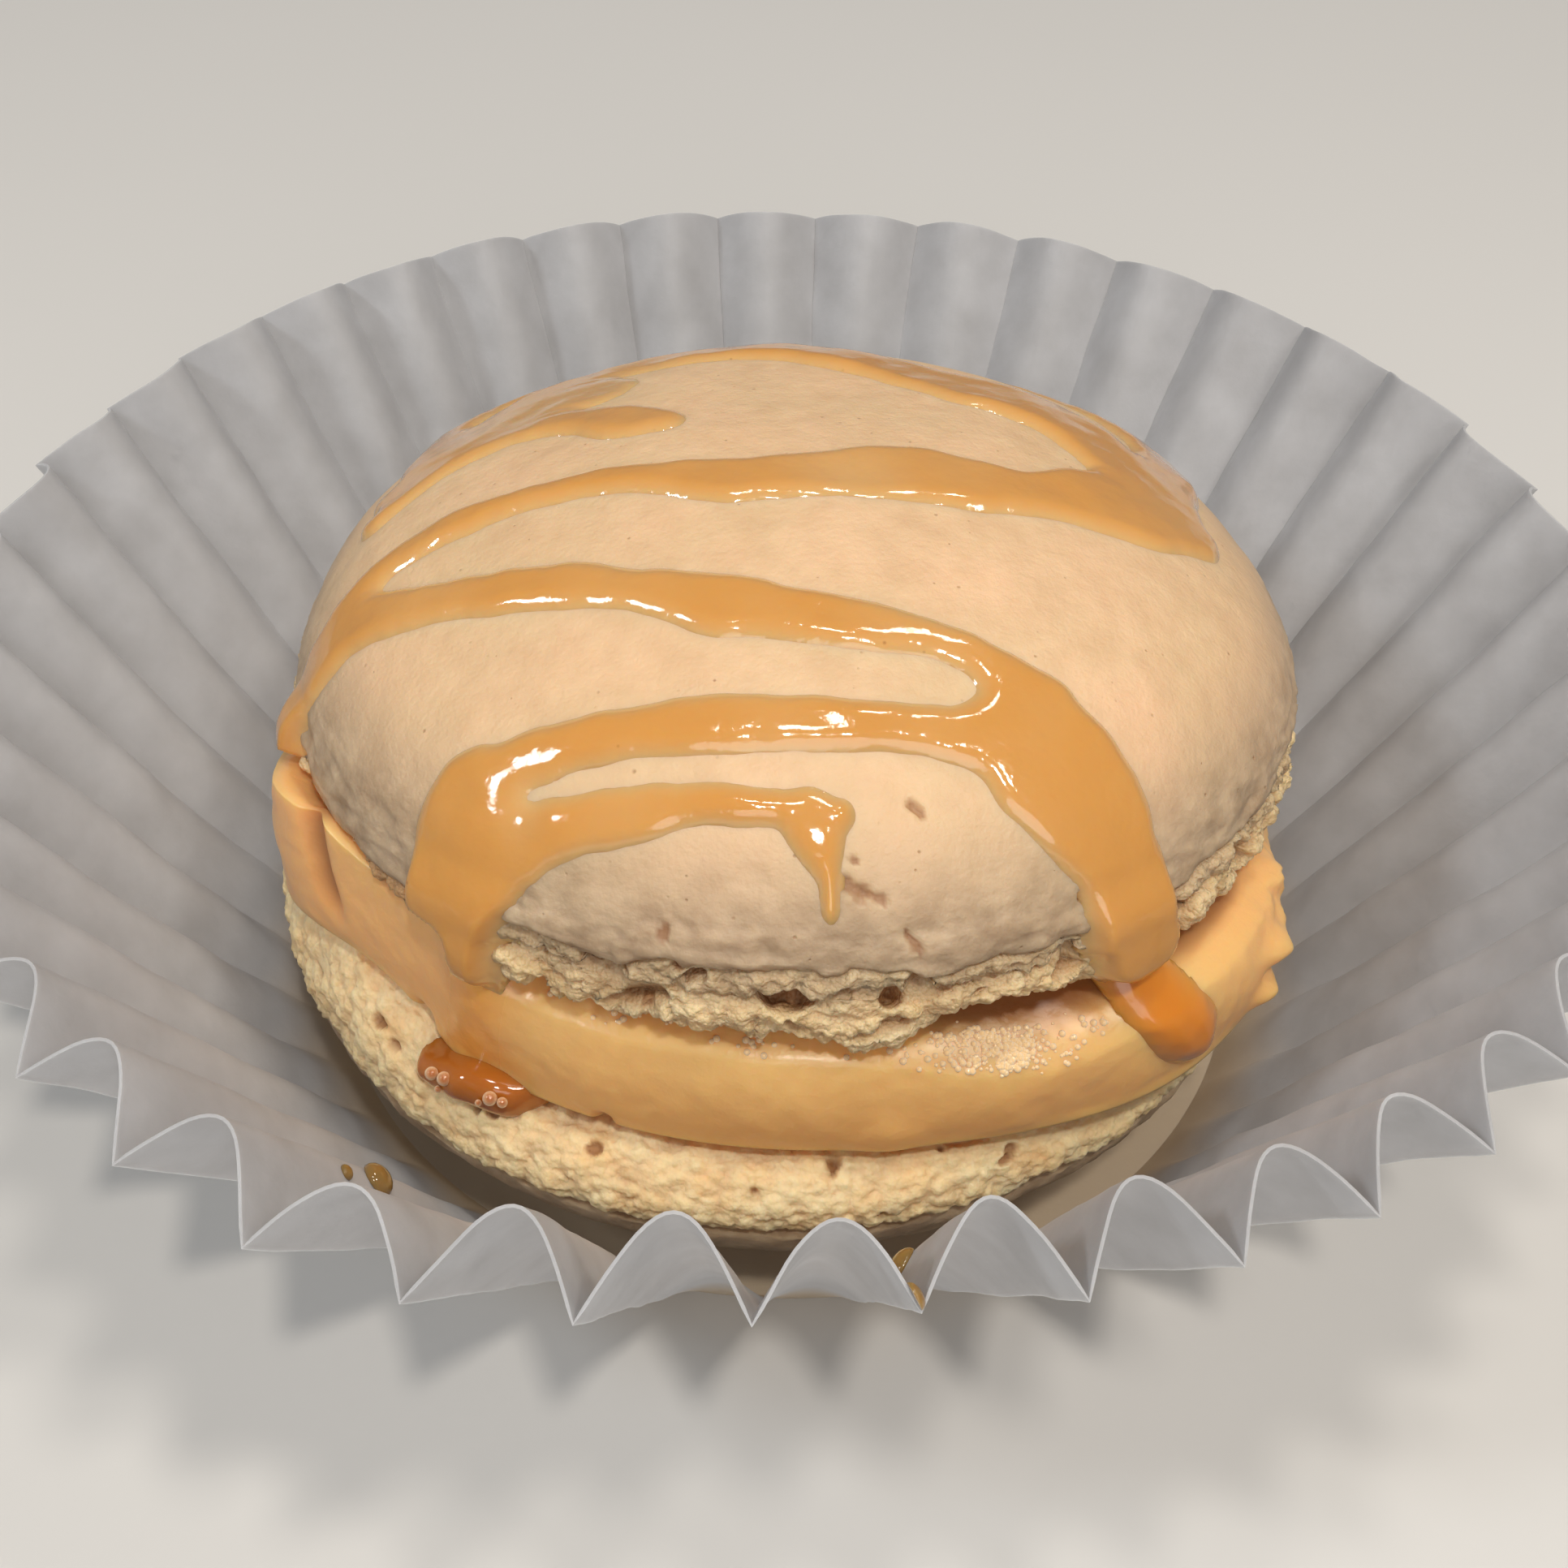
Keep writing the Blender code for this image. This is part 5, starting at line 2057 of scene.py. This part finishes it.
@dataclass(frozen=True)
class CaramelLayer:
    """The dark caramel under the buttercream, seeping out over the lower foot at the front left."""

    centre: Pair = (0.0, -2.4 * MM)
    low: float = 11.3 * MM
    high: float = 12.4 * MM
    # Angle in degrees, reach, lower edge and upper edge in mm: flat all round, and thick where it seeps out
    stations: tuple[Four, ...] = (
        (-180.0, 19.9, 11.3, 12.4), (-133.5, 19.9, 11.6, 12.6), (-132.4, 22.0, 11.1, 12.0),
        (-130.5, 22.8, 10.9, 12.1), (-127.0, 22.9, 11.0, 12.6), (-124.0, 22.8, 11.2, 13.0),
        (-121.0, 22.6, 11.0, 12.8), (-118.8, 22.2, 10.8, 12.5), (-117.0, 21.0, 11.1, 12.4),
        (-110.0, 19.9, 11.3, 12.4), (180.0, 19.9, 11.3, 12.4),
    )
    # Angle, half width and height of two small swellings in front
    lobes: tuple[Triple, ...] = ((-97.0, 9.0, 0.35 * MM), (-66.0, 8.0, 0.3 * MM))
    seeps_from: Pair = (20.5 * MM, 22.0 * MM)
    softened_over: int = 9
    ripple: float = 0.12 * MM
    ripple_size: float = 1.6 * MM
    side_depth: float = 0.9 * MM
    side_fullness: float = 0.7
    columns: int = 720
    rows: int = 18
    seed: int = 61

    def build(self, finish: CaramelFinish) -> None:
        """Builds the layer and adds it.

        Args:
            finish: Its caramel.
        """
        turn = np.linspace(0.0, math.tau, self.columns, endpoint=False)
        table = np.array(self.stations)
        degrees = np.degrees(angle_apart(turn, 0.0))
        window = np.hanning(self.softened_over)
        window /= window.sum()
        smoothed = []
        for column in (1, 2, 3):
            values = MM * np.interp(degrees, table[:, 0], table[:, column])
            smoothed.append(np.convolve(np.pad(values, len(window) // 2, mode="wrap"), window, mode="valid"))
        reach, low, top = smoothed
        seep = smooth_step(*self.seeps_from, reach)
        for angle, spread, height in self.lobes:
            reach = reach + height * turn_bell(turn, angle, spread)
        reach = reach + self.ripple * Noise(self.seed).waves(round_axis(reach, turn, 0.0), self.ripple_size, 2)
        rings = []
        for angle in np.arange(self.rows) * math.pi / (self.rows - 1):
            out = math.sin(angle) ** self.side_fullness
            height = (top + low) / 2 + (top - low) / 2 * math.cos(angle)
            rings.append(round_axis(reach - (1 - out) * self.side_depth, turn, height))
        points = np.vstack([*rings, [[0, 0, self.high]], [[0, 0, self.low]]])
        points[:, :2] += self.centre
        depth = np.append(np.tile(0.35 + 0.65 * seep, self.rows), [0.3, 0.3])
        faces = turned_faces(self.rows, self.columns)
        mesh = make_mesh("dark_caramel_layer", points, faces, {Tag.DEPTH: depth})
        add_piece(mesh, finish.build(), ("caramel_layer",))


# Small things


@dataclass(frozen=True)
class Beads:
    """Tiny bubbles that stand on the filling's upper edge."""

    density: float = 70.0e6
    smallest: float = 0.05 * MM
    largest: float = 0.15 * MM
    seed: int = 4

    def tree(self, material: Material) -> NodeTree:
        """The Geometry Nodes tree that scatters the bubbles by the mesh's own layer.

        Args:
            material: The bubbles' finish.

        Returns:
            The tree.
        """
        sizes = {label: getattr(self, label.lower()) for label in ("Density", "Smallest", "Largest", "Seed")}
        others = {"Geometry": ("NodeSocketGeometry", None), "Finish": ("NodeSocketMaterial", material)}
        tree, given, result = geometry_group("scattered_bubbles", sizes, others)
        where = tree.node("GeometryNodeInputNamedAttribute", {"Name": Tag.BEADS.value}, data_type="FLOAT")
        density = tree.times(where.outputs["Attribute"], given["Density"])
        scatter = tree.node(
            "GeometryNodeDistributePointsOnFaces",
            {"Mesh": given["Geometry"], "Density": density, "Seed": given["Seed"]},
            distribute_method="RANDOM",
        )
        ball = tree.node("GeometryNodeMeshIcoSphere", {"Radius": 1.0, "Subdivisions": 2})
        smooth = tree.node("GeometryNodeSetShadeSmooth", {"Geometry": ball.outputs["Mesh"]})
        limits = {2: given["Smallest"], 3: given["Largest"], "Seed": given["Seed"]}
        size = tree.node("FunctionNodeRandomValue", limits, data_type="FLOAT").outputs[1]
        copying = {"Points": scatter.outputs["Points"], "Instance": smooth.outputs[0], "Scale": size}
        copies = tree.node("GeometryNodeInstanceOnPoints", copying).outputs[0]
        tree.feed(result, tree.dressed(copies, given["Finish"]))
        return tree.tree

    def build(self, filling: Mesh, finish: BubbleFinish) -> None:
        """Scatters the bubbles and adds them.

        Args:
            filling: The mesh that they stand on.
            finish: Their finish.
        """
        material = finish.build()
        mesh = realised("cream_bubbles", filling.copy(), self.tree(material), {"Seed": self.seed})
        add_piece(mesh, material)


@dataclass(frozen=True)
class Drop:
    """A drop or bubble: its middle, its radius, how flat it is and which way its flat side looks."""

    place: Triple
    radius: float
    flatness: float = 1.0
    up: Triple = (0.0, 0.0, 1.0)


BALL_ROWS = 9
BALL_COLUMNS = 18
SEEP_BUBBLES = (
    Drop((-14.0, -20.45, 12.3), 0.28),
    Drop((-13.45, -20.8, 12.4), 0.3),
    Drop((-13.75, -20.75, 11.7), 0.16),
    Drop((-11.5, -21.85, 12.5), 0.3),
    Drop((-11.0, -22.0, 12.45), 0.22),
    Drop((-12.0, -21.75, 12.1), 0.14),
)
PAPER_DROPS = (
    Drop((-15.3, -26.0, 12.5), 0.75, 0.75),
    Drop((-16.0, -27.4, 14.7), 0.33, 0.75),
    Drop((4.5, -30.2, 13.5), 0.8, 0.6),
    Drop((4.4, -36.6, 20.8), 0.5, 0.6),
)


def settled(drops: tuple[Drop, ...], carrier: Mesh) -> tuple[Drop, ...]:
    """Sets drops down on the nearest place of the mesh that carries them.

    Args:
        drops: The drops, in mm.
        carrier: The mesh that they sit on.

    Returns:
        The drops, with their lower sides on the mesh.
    """
    corners = [vertex.co for vertex in carrier.vertices]
    faces = BVHTree.FromPolygons(corners, [tuple(face.vertices) for face in carrier.polygons])
    placed = []
    for drop in drops:
        near, normal, _, _ = faces.find_nearest(Vector(drop.place) * MM)
        placed.append(replace(drop, place=tuple(near / MM), up=tuple(normal)))
    return tuple(placed)


def drops_mesh(name: str, drops: tuple[Drop, ...], below: float = 1.0) -> Mesh:
    """Small balls, flattened one way, joined into one mesh.

    Args:
        name: The mesh's name.
        drops: The balls, in mm.
        below: The share of a ball's lower half that is kept.

    Returns:
        The mesh.
    """
    rows, columns = BALL_ROWS, BALL_COLUMNS
    fall = np.repeat(np.linspace(0.0, math.pi, rows + 2)[1:-1], columns)
    turn = np.tile(np.linspace(0.0, math.tau, columns, endpoint=False), rows)
    ball = np.vstack([round_axis(np.sin(fall), turn, np.cos(fall)), [[0, 0, 1]], [[0, 0, -1]]])
    ball[:, 2] = np.where(ball[:, 2] < 0, ball[:, 2] * below, ball[:, 2])
    points, groups = [], [[], []]
    for number, drop in enumerate(drops):
        turned = np.array(Vector((0, 0, 1)).rotation_difference(Vector(drop.up)).to_matrix())
        points.append(((ball * (1, 1, drop.flatness) * drop.radius) @ turned.T + np.array(drop.place)) * MM)
        for group, faces in zip(groups, turned_faces(rows, columns)):
            group.append(faces + number * len(ball))
    stacked = np.vstack(points)
    depth = np.full(len(stacked), 0.5)
    return make_mesh(name, stacked, [np.vstack(group) for group in groups], {Tag.DEPTH: depth})


# The stage


# What the lamps look at
AIM = (0.0, -2.4 * MM, 18 * MM)


@dataclass(frozen=True)
class Lamp:
    """A round area light that looks at the macaron."""

    name: str
    place: Triple
    size: float
    power: float
    colour: Triple

    def build(self) -> None:
        """Adds the light."""
        data = bpy.data.lights.new(self.name, "AREA")
        data.shape = "DISK"
        data.size = self.size
        data.energy = self.power
        data.color = self.colour
        lamp = new_object(self.name, data)
        lamp.location = self.place
        lamp.rotation_euler = (Vector(AIM) - Vector(self.place)).to_track_quat("-Z", "Y").to_euler()


WARM = (1.0, 0.93, 0.84)
SOFT = (1.0, 0.97, 0.94)
COOL = (0.93, 0.97, 1.0)
LAMPS = (
    Lamp("lamp_front", (0.05, -0.25, 0.45), 0.035, 0.77, WARM),
    Lamp("lamp_right", (0.21, -0.12, 0.42), 0.06, 0.44, WARM),
    Lamp("lamp_middle", (0.02, -0.04, 0.50), 0.06, 0.36, WARM),
    Lamp("lamp_back", (0.12, 0.14, 0.46), 0.06, 0.24, WARM),
    Lamp("lamp_left", (-0.32, -0.12, 0.34), 0.08, 0.46, COOL),
    Lamp("fill", (0.08, -0.55, 0.30), 0.4, 0.95, SOFT),
)


@dataclass(frozen=True)
class Studio:
    """The pale floor, the soft light and the camera at the photograph's angle."""

    floor_size: float = 3.0
    floor: Colour = srgb(214, 212, 208)
    floor_light: Colour = srgb(220, 218, 215)
    sky: Colour = srgb(225, 228, 232)
    sky_strength: float = 0.22
    camera_place: Triple = (-0.2 * MM, -78.5 * MM, 79.5 * MM)
    pitch: float = math.radians(41.5)
    roll: float = math.radians(1.3)
    focal_px: float = 2717.0
    image_px: float = 1932.0
    sensor_mm: float = 36.0

    def build(self) -> None:
        """Adds the floor, the lamps, the sky and the camera."""
        half = self.floor_size / 2
        corners = np.array([(-half, -half, 0), (half, -half, 0), (half, half, 0), (-half, half, 0)], float)
        mesh = make_mesh("floor", corners, [np.array([[0, 1, 2, 3]])], {})
        dress = Dress("pale_floor", {"Roughness": 0.7})
        dress.lead("Base Color", dress.mix(dress.clouds(60 * MM, 0.5), self.floor, self.floor_light))
        mesh.materials.append(dress.material)
        new_object("floor", mesh)
        for lamp in LAMPS:
            lamp.build()
        world = bpy.data.worlds.new("sky")
        world.use_nodes = True
        backing = world.node_tree.nodes["Background"]
        backing.inputs["Color"].default_value = self.sky
        backing.inputs["Strength"].default_value = self.sky_strength
        bpy.context.scene.world = world
        bpy.context.scene.view_settings.view_transform = "Standard"
        self.add_camera()

    def add_camera(self) -> None:
        """Adds the camera and makes it the scene's."""
        data = bpy.data.cameras.new("photo_camera")
        data.sensor_width = self.sensor_mm
        data.lens = self.sensor_mm * self.focal_px / self.image_px
        data.clip_start = 1 * MM
        camera = new_object("photo_camera", data)
        forward = Vector((0.0, math.cos(self.pitch), -math.sin(self.pitch)))
        right = Vector((1.0, 0.0, 0.0))
        up = right.cross(forward)
        across = right * math.cos(self.roll) + up * math.sin(self.roll)
        upward = up * math.cos(self.roll) - right * math.sin(self.roll)
        rows = Matrix((across, upward, -forward)).transposed().to_4x4()
        camera.matrix_world = Matrix.Translation(self.camera_place) @ rows
        bpy.context.scene.camera = camera


DRIZZLE_CARAMEL = CaramelFinish("drizzle_caramel", thin=srgb(222, 176, 118), thick=srgb(213, 153, 79))
AMBER_CARAMEL = CaramelFinish(
    "amber_caramel", thin=srgb(226, 150, 62), thick=srgb(218, 132, 32), roughness=0.25, specks=0.0
)
DARK_CARAMEL = CaramelFinish("dark_caramel", thin=srgb(206, 132, 58), thick=srgb(178, 104, 34), specks=0.0)
# The rim colours are painted highlights
CREAM_BUBBLES = BubbleFinish("cream_bubble_film", behind=srgb(255, 214, 152), rim=srgb(255, 250, 235))
SEEP_FILM = BubbleFinish("seep_bubble_film", behind=srgb(176, 98, 34), rim=srgb(255, 226, 186))
SYRUP = CaramelFinish("yellow_syrup", thin=srgb(150, 120, 70), thick=srgb(134, 104, 52), specks=0.0)


def main() -> None:
    """Builds the stage and then every piece, from the case up."""
    logging.basicConfig(level=logging.INFO, format="%(name)s %(message)s")
    Studio().build()
    paper = PaperCase().build(PaperFinish())
    LOWER_SHELL.build(ShellFinish("lower_shell_finish", foot=srgb(255, 236, 190), staining_and_shade=0.0, granular=0.7))
    CaramelLayer().build(DARK_CARAMEL)
    filling = Filling()
    cream = filling.build(CreamFinish())
    AMBER_DROP.build(filling, AMBER_CARAMEL)
    Beads().build(cream, CREAM_BUBBLES)
    UPPER_SHELL.build(ShellFinish("upper_shell_finish"))
    Drizzle(UPPER_SHELL).build(DRIZZLE_CARAMEL)
    add_piece(drops_mesh("seep_bubbles", SEEP_BUBBLES), SEEP_FILM.build())
    add_piece(drops_mesh("syrup_drops", settled(PAPER_DROPS, paper), below=0.1), SYRUP.build())


if __name__ == "__main__":
    main()
